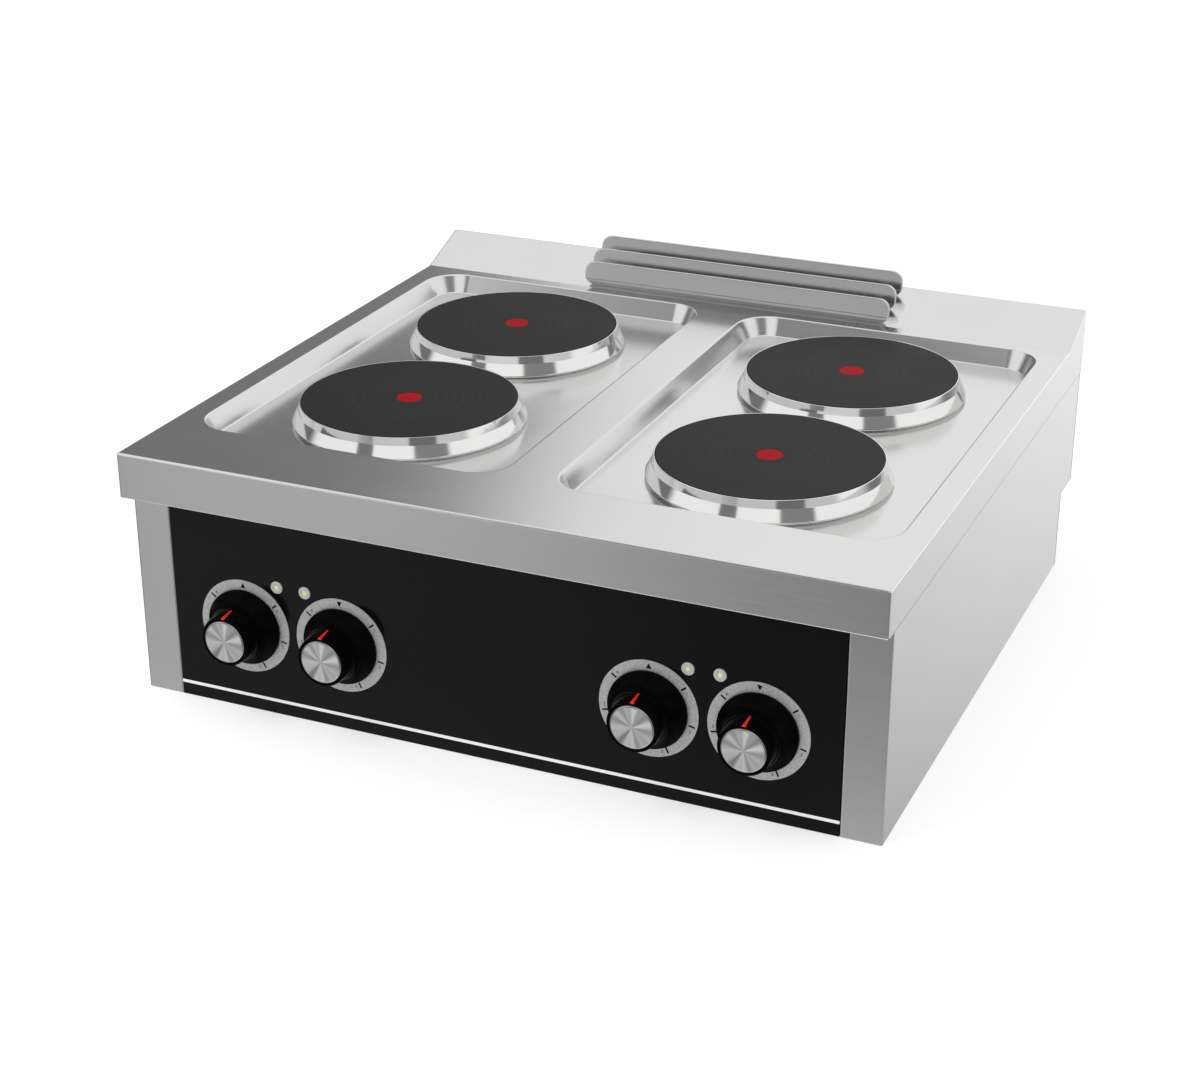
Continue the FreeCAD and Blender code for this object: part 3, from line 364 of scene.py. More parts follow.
# %% [markdown]
# ## Worktop
#
# One sheet: a flat frame round two pressed pans, aprons folded down on all four sides, and a strip at the
# back that slopes up. The press leaves round corners that shrink towards the pan floor, so a pan is its
# outline, which is a small rectangle pushed outwards by a radius, carried down a rounded profile. The
# flat frame is filled from each outline to the edge of its half of the worktop, and each pan floor from
# its edge to the two round holes, so no face is ever bent. A wall of 1.2 mm makes it a sheet at the end.

# %% Worktop measures
PLATE_STANDS = 4.4
TOP = span("hotplate_1")[1][2] - PLATE_STANDS
SHEET, FOLD, FOLD_STEPS = 1.2, 2.5, 6
PAN_X, PAN_Y, PAN_HALF_X, PAN_HALF_Y, PAN_CORNER = 200.25, 1.5, 173.25, 281.5, 39.0
PAN_DEPTH, PAN_RUN, PAN_HOLE = 20.0, 10.5, 106.0
PAN_LIP, PAN_FILLET, PAN_BORDER = 2.6, 2.2, 9
BEND, BEND_RADIUS, REACH = 300.0, 3.5, 6.0
FLUE_HALF, FLUE_FRONT, FLUE_BACK = 150.0, 314.0, 360.0
HEM_HEIGHT, HEM_RADIUS = 1.5, 1.0
TINY = 1e-6
edge_x = worktop_high[0] - FOLD
edge_front = worktop_low[1] + FOLD
rise = (worktop_high[2] - TOP) / (worktop_high[1] - BEND)
lean = np.array([0, -rise, 1]) / math.hypot(rise, 1)
up = np.array([0.0, 0.0, 1.0])


# %% The outline of a pan and of the sheet round it
def pan_outline(side):
    """Round one pan, anticlockwise: arc centres, outward directions, and points on the cell's edge.

    On a straight run the direction is that side's own. In a corner it turns through a right angle, while
    the matching point walks along one edge of the cell to its corner and on along the next. The runs along
    x are cut where the flue outlet begins, so that the strip behind can leave it open.
    """
    middle_x = side * PAN_X
    inner = np.array([PAN_HALF_X, PAN_HALF_Y]) - PAN_CORNER
    low = np.array([-edge_x if side < 0 else 0.0, edge_front])
    high = np.array([0.0 if side < 0 else edge_x, BEND - REACH])
    flue_line = PAN_X - FLUE_HALF
    run_x = np.array([-1, -flue_line / inner[0], flue_line / inner[0], 1]) * inner[0]
    run_y = np.linspace(-1, 1, 9) * inner[1]
    directions = np.array([[0, -1], [1, 0], [0, 1], [-1, 0]], float)
    runs = (np.stack([run_x, 0 * run_x - inner[1]], -1), np.stack([0 * run_y + inner[0], run_y], -1),
            np.stack([-run_x, 0 * run_x + inner[1]], -1), np.stack([0 * run_y - inner[0], -run_y], -1))
    turn = np.linspace(0, 1, 13)[1:-1, None]
    centres, outwards, edges = [], [], []
    for number, run in enumerate(runs):
        this, following = directions[number], directions[(number + 1) % 4]
        run = run + (middle_x, PAN_Y)
        corner = run[-1]
        limit = np.where(this > 0, high, low)
        next_limit = np.where(following > 0, high, low)
        gap = abs((limit - corner) @ this)
        next_gap = abs((next_limit - corner) @ following)
        centres += [run, corner + 0 * turn]
        outwards += [this + 0 * run, np.cos(turn * np.pi / 2) * this + np.sin(turn * np.pi / 2) * following]
        edges += [run + this * abs((limit - run) @ this)[:, None],
                  corner + np.minimum(1, 2 - 2 * turn) * gap * this
                  + np.minimum(1, 2 * turn) * next_gap * following]
    loop = [np.vstack(part) for part in (centres, outwards, edges)]
    return [np.vstack([part, part[:1]]) for part in loop]


# %% Pan walls, pan floors and the flat frame
def with_height(plan, height):
    """Plan points at one height, or at a height for each."""
    return np.concatenate([plan, np.broadcast_to(height, plan.shape[:-1])[..., None]], -1)


def pan_grids(side):
    """The flat frame, the walls and the two halves of the floor of one pan."""
    centres, outwards, edges = pan_outline(side)
    profile = rounded_line([(-REACH, TOP), (0, TOP), (PAN_RUN, TOP - PAN_DEPTH),
                            (PAN_RUN + PAN_BORDER, TOP - PAN_DEPTH)], (PAN_LIP, PAN_FILLET), steps=6)
    plan = centres + (PAN_CORNER - profile[:, :1, None]) * outwards
    walls = with_height(plan, profile[:, 1:])
    flat = np.stack([with_height(edges, TOP), walls[0]])
    floor, grids = plan[-1], []
    crossing = np.linspace(0, 1, 9)[1:-1, None]
    for part in (-1, 1):
        hub = middle("hotplate_1" if part < 0 else "hotplate_3")[:2] * (-side, 1)
        half = floor[:-1][(floor[:-1, 1] - PAN_Y) * part > -TINY]
        from_middle = half - (side * PAN_X, PAN_Y)
        half = half[np.argsort(np.arctan2(abs(from_middle[:, 1]), from_middle[:, 0]))]
        half = np.vstack([half, half[-1] + crossing * (half[0] - half[-1]), half[:1]])
        arm = half - hub
        hole = hub + PAN_HOLE * arm / np.linalg.norm(arm, axis=1)[:, None]
        grids.append(with_height(np.stack([half, hole]), TOP - PAN_DEPTH))
    return [flat, walls] + grids


# %% The sloping strip and the folded aprons
def strip_lines():
    """Front to back lines of the sloping strip: its y and z, and which way the sheet faces there."""
    crest = worktop_high[1] - FOLD + FOLD * lean[1]
    line = rounded_line([(BEND - REACH, TOP), (BEND, TOP), (crest, TOP + rise * (crest - BEND))],
                        (BEND_RADIUS,), steps=4)
    cuts = np.array([FLUE_FRONT, FLUE_BACK])
    line = np.vstack([line, np.stack([cuts, TOP + rise * (cuts - BEND)], -1)])
    line = line[np.argsort(line[:, 0])]
    along = np.gradient(line, axis=0)
    along /= np.linalg.norm(along, axis=1)[:, None]
    return line, np.stack([0 * along[:, 0], -along[:, 1], along[:, 0]], -1)


def worktop_grids():
    """Everything above, and round it a fold: an arc from the way the sheet faces to the apron's.

    The aprons drop from its end, and the front one is turned in as far as the panel.
    """
    outlines = np.vstack([pan_outline(side)[2] for side in (-1, 1)])
    front_x = np.unique(outlines[outlines[:, 1] < edge_front + TINY][:, 0].round(6))
    back_x = np.unique(outlines[outlines[:, 1] > BEND - REACH - TINY][:, 0].round(6))
    side_y = np.unique(outlines[outlines[:, 0] > edge_x - TINY][:, 1].round(6))
    line, faces = strip_lines()
    strip = np.stack(np.broadcast_arrays(back_x, line[:, :1], line[:, 1:]), -1)
    centre_x, centre_y = (back_x[:-1] + back_x[1:]) / 2, (line[:-1, 0] + line[1:, 0]) / 2
    solid = ((centre_y < FLUE_FRONT) | (centre_y > FLUE_BACK))[:, None] | (abs(centre_x) > FLUE_HALF)

    right = np.vstack([np.stack([0 * side_y + edge_x, side_y, 0 * side_y + TOP], -1),
                       np.stack([0 * line[1:, 0] + edge_x, line[1:, 0], line[1:, 1]], -1)])
    right_faces = np.vstack([0 * side_y[:, None] + up, faces[1:]])
    ahead = np.stack([front_x, 0 * front_x + edge_front, 0 * front_x + TOP], -1)
    behind = strip[-1, ::-1]
    quarter = np.linspace(0, np.pi / 2, 6)[1:-1, None]
    ways = np.array([[0, -1, 0], [1, 0, 0], [0, 1, 0], [-1, 0, 0]], float)
    left = right[::-1] * (-1, 1, 1)
    sides = ((ahead, 0 * ahead + up), (right, right_faces), (behind, 0 * behind + lean),
             (left, right_faces[::-1]))
    path, facing, outward = [], [], []
    for number, (points, normals) in enumerate(sides):
        this, following = ways[number], ways[(number + 1) % 4]
        path += [points, points[-1] + 0 * quarter]
        facing += [normals, normals[-1] + 0 * quarter]
        outward += [this + 0 * points, np.cos(quarter) * this + np.sin(quarter) * following]
    path, facing, outward = (np.vstack([*part, part[0][:1]]) for part in (path, facing, outward))
    dot = (facing * outward).sum(1, keepdims=True)
    sweep = (outward - dot * facing) / np.sqrt(1 - dot**2)
    angle = np.linspace(0, 1, FOLD_STEPS + 1)[:, None, None] * np.arccos(dot)
    fold = path - FOLD * facing + FOLD * (np.cos(angle) * facing + np.sin(angle) * sweep)
    drops = [fold[-1] * (1, 1, 0) + up * height for height in (worktop_low[2] + HEM_HEIGHT, worktop_low[2])]
    skirt = np.concatenate([fold, np.stack(drops)])
    kept = np.ones((len(skirt) - 1, len(path) - 1), bool)
    kept[-1, : len(front_x) - 1] = False
    hem = rounded_line([(worktop_low[1], worktop_low[2] + HEM_HEIGHT), (worktop_low[1], worktop_low[2]),
                        (panel_low[1], worktop_low[2])], (HEM_RADIUS,), steps=4, ease=0.2)
    hem = np.stack(np.broadcast_arrays(front_x, hem[:, :1], hem[:, 1:]), -1)
    return pan_grids(-1) + pan_grids(1) + [(strip, None, solid), (skirt, None, kept), hem]


worktop = build("worktop_sheet", worktop_grids(), facing=(0, -0.2, 1), wall=SHEET)
fit(worktop, "case", "brushed_stainless", stainless, "worktop")

# %% [markdown]
# ## Side panels
#
# Each side is one sheet whose front edge is folded in as a pillar and then back as a lip, and whose rear
# edge is a flange. Seen from above that is a bent line, so it is carried upwards. Low down at the back the
# wall stops earlier, where the service recess is, so the rear part is made in two bands.

# %% Side panels
LIP, FLANGE, SIDE_BEND = 13.2, 15, 2.0
RECESS_TOP, RECESS_FRONT = 90.0, 324.0


def side_grids(side):
    """The bent line of the sheet carried up: the front part full height, the rear part in two bands."""
    low, high = span("side_panel_right")
    outer, front, rear = high[0], low[1], high[1]
    stop = min(span("base_tray")[1][1], RECESS_FRONT)
    share = stop - SIDE_BEND - 0.4
    fronts = rounded_line([(panel_high[0], front + LIP), (panel_high[0], front), (outer, front),
                           (outer, share)], (SIDE_BEND, SIDE_BEND))
    upper = rounded_line([(outer, share), (outer, rear), (outer - FLANGE, rear)], (SIDE_BEND,))
    lower = rounded_line([(outer, share), (outer, stop), (outer - FLANGE, stop)], (SIDE_BEND,))
    grids = []
    for line, heights in ((fronts, (low[2], RECESS_TOP, high[2])), (upper, (RECESS_TOP, high[2])),
                          (lower, (low[2], RECESS_TOP))):
        heights = np.array(heights)[:, None]
        grids.append(np.stack(np.broadcast_arrays(line[:, 0] * side, line[:, 1], heights), -1))
    return grids


for side, name in ((-1, "left"), (1, "right")):
    panel = build(f"side_sheet_{name}", side_grids(side), facing=(side, -0.1, 0), wall=SHEET)
    fit(panel, "case", "brushed_stainless", stainless, f"side_panel_{name}")

# %% [markdown]
# ## Louvre
#
# Three slats cover the flue outlet. Each is a strip creased along its length, with the top leaning back,
# and its ends are rounded off. A slat is a grid with rows up the creased profile; every row is as long as
# the rounded outline is at that height. The crease is pressed in as a fine groove that stops before the
# ends, and the whole outline is turned back in a small round hem, which is what catches the light.

# %% Louvre slats
HEM_BEND, HEM_FLAT = 1.3, 1.0
GROOVE, GROOVE_HALF, GROOVE_END, GROOVE_FADE = 1.0, 0.75, 12.0, 3.0
SLAT_CORNER, CREASE_HEIGHT, CREASE_RADIUS = 12.0, 8.7, 0.7
FOOT_SET_BACK, TIP_SET_BACK = 4.0, 4.5


def slat_grids(node):
    """Rows follow the creased profile, columns the length; a second grid turns the outline back.

    Half a row is half - corner + sqrt(corner^2 - over^2), where over is how far the row is past the last
    full one. The hem is a quarter circle, swept outwards across the outline and then back.
    """
    low, high = span(node)
    corner, crease, half = SLAT_CORNER - HEM_BEND, low[2] + CREASE_HEIGHT, high[0] - HEM_BEND
    foot, tip = low[2] + HEM_BEND, high[2] - HEM_BEND
    profile = rounded_line([(low[1] + FOOT_SET_BACK, low[2]), (low[1], crease),
                            (low[1] + TIP_SET_BACK, high[2])], (CREASE_RADIUS,), steps=4, ease=0.2)
    turns = np.sin(np.linspace(0, np.pi / 2, 7)) * corner
    heights = np.concatenate([profile[:, 1], foot + corner - turns, tip - corner + turns,
                              crease + GROOVE_HALF * np.array([-1, 0, 1])])
    heights = np.unique(heights.round(4))
    heights = heights[(heights >= foot - 1e-3) & (heights <= tip + 1e-3)]
    over = np.maximum(0, np.maximum(foot + corner - heights, heights - tip + corner))
    reach = half - corner + np.sqrt(np.maximum(0, corner**2 - over**2))
    along = np.concatenate([[-1, -0.97, -0.93], np.linspace(-0.915, 0.915, 21), [0.93, 0.97, 1]])
    across = along * reach[:, None]
    pressed = np.clip((half - GROOVE_END - abs(across)) / GROOVE_FADE, 0, 1)
    pressed = GROOVE * pressed * np.clip(1 - abs(heights - crease) / GROOVE_HALF, 0, 1)[:, None]
    depth = np.interp(heights, profile[:, 1], profile[:, 0])[:, None] + pressed
    face = np.stack(np.broadcast_arrays(across, depth, heights[:, None]), -1)
    ring = np.vstack([face[0, :-1], face[:-1, -1], face[-1, :0:-1], face[:0:-1, 0]])
    way = np.roll(ring, -1, 0) - np.roll(ring, 1, 0)
    outward = np.stack([way[:, 2], 0 * way[:, 0], -way[:, 0]], -1)
    outward /= np.linalg.norm(outward, axis=1)[:, None]
    back = np.array([0.0, 1.0, 0.0])
    angle = np.linspace(0, np.pi / 2, 5)[:, None, None]
    hem = ring + HEM_BEND * (np.sin(angle) * outward + (1 - np.cos(angle)) * back)
    hem = np.concatenate([hem, hem[-1:] + HEM_FLAT * back])
    return [face, np.concatenate([hem, hem[:, :1]], axis=1)]


for place in ("front", "middle", "rear"):
    slat = build(f"slat_{place}", slat_grids(f"louvre_slat_{place}"), facing=(0, -1, 0.2), wall=SHEET)
    fit(slat, "case", "brushed_stainless", stainless, f"louvre_slat_{place}")

# %% [markdown]
# ## Cast-iron plates
#
# A hot plate is a casting whose face is turned flat, which leaves fine rings, and then blackened. In its
# middle sits a red marker that says the plate is of the quick kind. The larger rings are in the profile,
# the finest ones in the finish, which reads the radius from the map that the turned grid carries.

# %% Cast iron and red enamel
RING_PITCH = 9.3


def cast_iron():
    """Dark, dull metal: turning marks by radius, burnt patches by a wide noise, grains by a fine one."""
    finish = Finish("cast_iron")
    radius = finish.turn_and_radius()[1]
    rings = finish.rings(radius, 1.6, 5.0, 0.7)
    groove = (radius * (2 * math.pi / RING_PITCH)).sine().step(0.45, 0.95)
    # Lighter bands along the turned grooves, between radii 24 and 72 mm.
    pale_groove_bands = groove * radius.step(24, 34) * radius.step(72, 58)
    grain = finish.cloud(900.0, 3.0)
    patch = finish.cloud(12.0, 4.0)
    shade = rings * 0.4 + patch * 0.3 + pale_groove_bands * 0.35
    colour = finish.mix(shade, grey(0.008), grey(0.019, (1.0, 0.985, 0.97)))
    return finish.set(Base_Color=colour, Metallic=0.2, Roughness=0.50 + 0.10 * patch + 0.12 * (rings - 0.5),
                      Specular_IOR_Level=0.20, Normal=finish.bump(rings * 0.7 + grain * 0.3, 4e-5))


def red_enamel(name, colour, roughness, sheen):
    """A thick coat that varies a little in depth."""
    finish = Finish(name)
    cloud = finish.cloud(160.0, 3.0)
    peel = finish.cloud(900.0, 1.0)
    deep = grey(0.72, colour[:3])
    return finish.set(Base_Color=finish.mix(cloud, deep, colour), Roughness=roughness + 0.12 * cloud,
                      Specular_IOR_Level=sheen, Normal=finish.bump(peel, 8e-6))


iron, marker_red = cast_iron(), red_enamel("red_marker", (0.33, 0.003, 0.006, 1), 0.45, 0.04)

# %% Plates, markers and spill rims
PLATE_RADIUS, CORE_RADIUS, FACE_RADIUS = 113.7, 103, 104
CORE_DEPTH, EDGE_DEPTH, GROOVE_DEPTH = 22, 12, 0.14
SEAT_RADIUS, SEAT_DEPTH, MARKER_RADIUS = 13.75, 0.6, 13.7


def plate_profile():
    """From under the casting out and up to the face, then inwards over shallow turned rings."""
    rim = rounded_line([(0, -CORE_DEPTH), (CORE_RADIUS, -CORE_DEPTH), (CORE_RADIUS, -EDGE_DEPTH),
                        (PLATE_RADIUS, -EDGE_DEPTH), (PLATE_RADIUS, 0), (FACE_RADIUS, 0)],
                       (2.0, 1.0, 0.8, 1.3), steps=4, ease=0.2)
    radius = np.linspace(FACE_RADIUS, 15.4, 120)
    groove = -GROOVE_DEPTH * np.clip(np.sin(radius * 2 * np.pi / RING_PITCH) - 0.55, 0, 1)
    seat = [(14.6, 0), (14.0, -0.1), (SEAT_RADIUS, -SEAT_DEPTH), (0, -SEAT_DEPTH)]
    return np.vstack([rim[:-1], np.stack([radius, groove], -1), seat])


def marker_profile():
    """A disc whose edge is rounded over."""
    return rounded_line([(0, 0), (MARKER_RADIUS, 0), (MARKER_RADIUS, 0.55), (0, 0.62)], (0.05, 0.3),
                        steps=4, ease=0.02)


def rim_profile():
    """The section of the spill rim: lip, steep band, flared band, rolled foot, and the ledge inside."""
    section = ((113.75, -0.3), (114.8, -0.3), (117.0, -8.4), (123.5, -20.9), (120.5, -24.4),
               (119.7, -24.4), (121.9, -20.9), (117.65, -12.8), (106.0, -12.8), (106.0, -12.0),
               (117.2, -12.0), (116.2, -8.4), (113.75, -5.0))
    return rounded_line(section, (0.3, 0.3, 1.6, 1.6, 0.3, 0.3, 0.8, 0.1, 0.1, 0.1, 0.1, 0.5, 0.1),
                        steps=4, ease=0.05, closed=True)


discs = []
for number in (1, 2, 3, 4):
    centre = middle(f"hotplate_{number}") * (1, 1, 0) + up * span(f"hotplate_{number}")[1][2]
    discs.append(turned(marker_profile(), centre - up * SEAT_DEPTH, columns=64))
    plate = build(f"iron_plate_{number}", [turned(plate_profile(), centre, columns=144)])
    fit(plate, "case", "cast_iron", iron, f"hotplate_{number}")
    rim = build(f"bright_rim_{number}", [turned(rim_profile(), centre, columns=192, closed=True)], sharp=50)
    fit(rim, "case", "polished_stainless", polished, f"spill_rim_{number}")
fit(build("red_markers", discs), "case", "red_marker", marker_red, "plate_markers")

# %% [markdown]
# ## Knobs
#
# A knob is a bell: a wide skirt keeps spills and fingers off the dial, and sweeps up into the round grip.
# It is turned, so it needs only its profile. The red pointer is a narrow patch of the same surface, a
# little proud of it. The metal cap is spun, and its circular marks throw light in wedges, as on a record;
# here the wedges are painted highlights in its colour, and its bevel is painted darker as shade.

# %% Finishes of the knob
BEVEL_FROM, BEVEL_FULL = 20.6, 21.2


def knob_plastic():
    """Glossy black moulding with finger marks and a very slight orange peel."""
    finish = Finish("knob_black")
    touch = finish.cloud(55.0, 4.0)
    peel = finish.cloud(420.0, 2.0)
    colour = finish.mix(touch, grey(0.0010), grey(0.0026))
    return finish.set(Base_Color=colour, Roughness=0.12 + 0.12 * touch, IOR=1.07,
                      Normal=finish.bump(peel, 1.2e-5))


def spun_aluminium():
    """Painted highlights in wedges by turn, fine rings by radius, and a smoother bevel painted darker as
    shade.

    The painted wedges are three sines of whole turns, so they meet where the turn starts again.
    """
    finish = Finish("cap_aluminium")
    turn, radius = finish.turn_and_radius()
    angle = turn * (2 * math.pi)
    # Painted highlights: bright and dark sectors of reflected light, put into the colour by turn.
    painted_wedge_highlights = (angle * 6.0 + 0.7).sine() * 0.5 + (angle * 4.0 + 2.1).sine() * 0.3
    painted_wedge_highlights = painted_wedge_highlights + (angle * 11.0 + (angle * 2.0).sine() * 1.5).sine() * 0.35
    rings = finish.rings(radius, 14.0, 3.0, 0.8)
    # The bevel: smoother, and painted darker as shade.
    edge = radius.step(BEVEL_FROM, BEVEL_FULL)
    # The colour carries painted light, the wedge highlights and the darker bevel; the rings are real lathe
    # marks.
    light = (painted_wedge_highlights * 0.42 + 0.54 + (rings - 0.5) * 0.5) * (1 - edge) + edge * 0.1
    colour = finish.mix(light.math("MAXIMUM", 0.0, clamp=True), grey(0.28), grey(1.0))
    return finish.set(Base_Color=colour, Metallic=1.0, Roughness=0.34 - 0.04 * edge,
                      Normal=finish.bump(rings, 6e-6))


black_plastic, aluminium = knob_plastic(), spun_aluminium()
pointer_red = red_enamel("pointer_red", (0.85, 0.020, 0.008, 1), 0.3, 0.2)

# %% Knob shapes
SKIRT, SKIRT_EDGE, GRIP, TAPER, SWEEP, LONG = 40.5, 3.9, 26.0, 1.5, 25.0, 39.9
SEAT, CAP_EDGE, CAP_FACE, CAP_THICK, CAP_DISH = 22.5, 22.4, 20.9, 1.6, 0.12
POINTER_FROM, POINTER_PROUD, POINTER_WALL = 23.0, 0.12, 0.25


def knob_profile():
    """Back, skirt edge, sweep (a power of 2.4 of the share still to go), grip, front lip and cap seat."""
    share = np.linspace(0, 1, 26)[:, None]
    sweep = np.hstack([GRIP + TAPER + (SKIRT - 1 - GRIP - TAPER) * (1 - share) ** 2.4,
                       SKIRT_EDGE + 0.6 + (SWEEP - SKIRT_EDGE) * share])
    back = rounded_line([(0, 0), (SKIRT, 0), (SKIRT, SKIRT_EDGE), sweep[0]], (0.8, 0.4), steps=4, ease=0.1)
    front = rounded_line([sweep[-1], (GRIP, LONG), (SEAT, LONG), (SEAT, LONG - 1), (0, LONG - 1)],
                         (1.4, 0.3, 0.05), steps=5, ease=0.05)
    return np.vstack([back[:-1], sweep, front[1:]])


def pointer_grid(centre):
    """The knob's own profile, by its length, from the sweep up the grip and over its front edge.

    Each row stands a little off along the profile's normal, and is as wide as its taper says.
    """
    profile = knob_profile()
    profile = profile[profile[:, 0] > SEAT + 0.5]
    steps = np.linalg.norm(np.diff(profile, axis=0), axis=1)
    length = np.concatenate([[0], np.cumsum(steps)])
    first = length[np.argmax(profile[:, 1] > POINTER_FROM)]
    line = np.linspace(first, length[-1] - 0.3, 28)
    line = np.stack([np.interp(line, length, profile[:, 0]), np.interp(line, length, profile[:, 1])], -1)
    along = np.gradient(line, axis=0)
    along /= np.linalg.norm(along, axis=1)[:, None]
    radius, height = (line + POINTER_PROUD * np.stack([along[:, 1], -along[:, 0]], -1)).T[..., None]
    angle = np.linspace(-1, 1, 7) * np.linspace(0.9, 1.9, len(line))[:, None] / radius
    return np.stack([radius * np.sin(angle), 0 * angle - height, radius * np.cos(angle)], -1) + centre


def cap_profile():
    """A spun disc: flat back, short wall, bevel, and a face that is very slightly dished."""
    radius = np.linspace(CAP_FACE, 0, 24)
    face = np.stack([radius, CAP_THICK - CAP_DISH * (1 - (radius / CAP_FACE) ** 2)], -1)
    edge = [(0, 0), (22.2, 0), (CAP_EDGE, 0.2), (CAP_EDGE, 0.75), (22.2, 0.95), (BEVEL_FULL, 1.55)]
    return np.vstack([edge, face])


for number in (1, 2, 3, 4):
    body = f"control_{number}"
    centre = rear_middle(f"knob_{number}")
    bell = build(f"bell_{number}", [turned(knob_profile(), centre, True, 96)])
    fit(bell, body, "knob_black", black_plastic, f"knob_{number}")
    pointer = build(f"pointer_{number}", [pointer_grid(centre)], facing=(0, 0, 1), wall=POINTER_WALL)
    fit(pointer, body, "red_marker", pointer_red)
    seat = centre - (0, LONG - 1.0, 0)
    cap = build(f"spun_cap_{number}", [turned(cap_profile(), seat, True, 96)])
    fit(cap, body, "cap_aluminium", aluminium, f"knob_cap_{number}")

# %% [markdown]
# ## Dials
#
# Behind each knob is a satin ring printed with a triangle at the top and six marks with their numbers, a
# seventh of a turn apart, for the positions of an energy switch. The triangle points up on the first and
# third dial and down on the others. The print is real geometry a few hundredths of a millimetre proud:
# short bars and a triangle from tiny grids, numbers from text made a mesh.


# %% Finishes of the dial
def satin_silver():
    """Fine rings and a slight cloudiness on pale satin metal."""
    finish = Finish("dial_silver")
    rings = finish.rings(finish.turn_and_radius()[1], 9.0, 3.0, 0.7)
    cloud = finish.cloud(420.0, 4.0, 0.7)
    shade = (rings * 0.35 + cloud * 0.65).step(0.30, 0.70)
    colour = finish.mix(shade, grey(0.31), grey(0.58, (1, 0.995, 0.96)))
    return finish.set(Base_Color=colour, Metallic=0.45, Roughness=0.40 + 0.1 * cloud,
                      Normal=finish.bump(rings, 5e-6))


def dial_ink():
    """Screen-printed black, a little uneven."""
    finish = Finish("dial_ink")
    grain = finish.cloud(1800.0, 2.0)
    return finish.set(Base_Color=finish.mix(grain, grey(0.001), grey(0.004)), Roughness=0.6 + 0.2 * grain,
                      Specular_IOR_Level=0.05, Normal=finish.bump(grain, 3e-6))


silver, ink = satin_silver(), dial_ink()

# %% Dial shapes
PRINT, INK = 0.06, 0.05
DIAL_HOLE, DIAL_RADIUS, DIAL_THICK = 14, 50.75, 1.0
MARK_FROM, MARK_TO, MARK_HALF = 42.0, 48.4, 0.9
ARROW_FROM, ARROW_TO, ARROW_HALF, ARROW_TIP = 42.4, 48.0, 2.8, 0.02
DIGIT_HEIGHT, DIGIT_RADIUS, DIGIT_ASIDE = 3.4, 45.2, 7.0


def dial_profile():
    """A flat ring with its outer edge broken."""
    section = ((DIAL_HOLE, 0), (DIAL_RADIUS, 0), (DIAL_RADIUS, DIAL_THICK), (DIAL_HOLE, DIAL_THICK))
    return rounded_line(section, (0.1, 0.35, 0.05, 0.05), steps=3, ease=0.02, closed=True)


def bar(centre, angle, inner, outer, inner_half, outer_half):
    """A flat bar from one radius to another along an angle; its half widths may differ."""
    along = np.linspace(inner, outer, 4)[:, None]
    across = np.linspace(-1, 1, 3) * np.linspace(inner_half, outer_half, 4)[:, None]
    x = along * math.sin(angle) + across * math.cos(angle)
    z = along * math.cos(angle) - across * math.sin(angle)
    return np.stack([x, 0 * x - PRINT, z], -1) + centre


def numbers_mesh(name, centre, marks):
    """The numbers 1 to 6, each upright beside its mark, as one flat mesh."""
    corners, faces, start = [], [], 0
    for number, angle in enumerate(marks, 1):
        curve = bpy.data.curves.new("number", "FONT")
        curve.body, curve.resolution_u = str(number), 3
        holder = bpy.data.objects.new("number", curve)
        flat = bpy.data.meshes.new_from_object(holder)
        plan = np.zeros(len(flat.vertices) * 3, np.float32)
        flat.vertices.foreach_get("co", plan)
        plan = plan.reshape(-1, 3)[:, :2]
        plan = (plan - (plan.min(0) + plan.max(0)) / 2) * DIGIT_HEIGHT / np.ptp(plan[:, 1])
        beside = angle + math.radians(DIGIT_ASIDE)
        x = DIGIT_RADIUS * math.sin(beside) + plan[:, 0]
        z = DIGIT_RADIUS * math.cos(beside) + plan[:, 1]
        corners.append(np.stack([x, 0 * x - PRINT, z], -1) + centre)
        faces += [[corner + start for corner in face.vertices] for face in flat.polygons]
        start += len(plan)
        bpy.data.objects.remove(holder)
        bpy.data.curves.remove(curve)
        bpy.data.meshes.remove(flat)
    mesh = bpy.data.meshes.new(name)
    mesh.from_pydata((np.concatenate(corners) * MM).tolist(), [], faces)
    piece = show(name, mesh)
    solid = piece.modifiers.new("ink", "SOLIDIFY")
    solid.thickness, solid.offset = INK * MM, -1
    return piece


for number in (1, 2, 3, 4):
    back = rear_middle(f"dial_ring_{number}")
    face = back * (1, 0, 1) + span(f"dial_ring_{number}")[0] * (0, 1, 0)
    ring = build(f"dial_face_{number}", [turned(dial_profile(), back, True, 128, True)], sharp=50)
    fit(ring, "case", "dial_silver", silver, f"dial_ring_{number}")
    marks = [math.radians(360 / 7 * step) for step in range(1, 7)]
    bars = [bar(face, angle, MARK_FROM, MARK_TO, MARK_HALF, MARK_HALF) for angle in marks]
    ends = (ARROW_HALF, ARROW_TIP) if number % 2 else (ARROW_TIP, ARROW_HALF)
    bars.append(bar(face, 0.0, ARROW_FROM, ARROW_TO, *ends))
    prints = build(f"dial_marks_{number}", bars, facing=(0, -1, 0), wall=INK)
    fit(prints, "case", "dial_silver", ink)
    fit(numbers_mesh(f"dial_numbers_{number}", face, marks), "case", "dial_silver", ink)

# %% [markdown]
# ## Pilot lamps
#
# Each knob has a neon lamp: a pale bezel pressed into the panel, and inside it a small domed lens that
# shows yellow-green. Both are turned, and each set of four is one piece.


# %% Pilot lamps
def lamp_bezel():
    """Pale satin metal, a little cloudy."""
    finish = Finish("lamp_bezel")
    cloud = finish.cloud(300.0, 3.0)
    return finish.set(Base_Color=finish.mix(cloud, grey(0.42), grey(0.56, (1, 1, 0.96))), Metallic=0.35,
                      Roughness=0.24 + 0.12 * cloud, Normal=finish.bump(cloud, 6e-6))


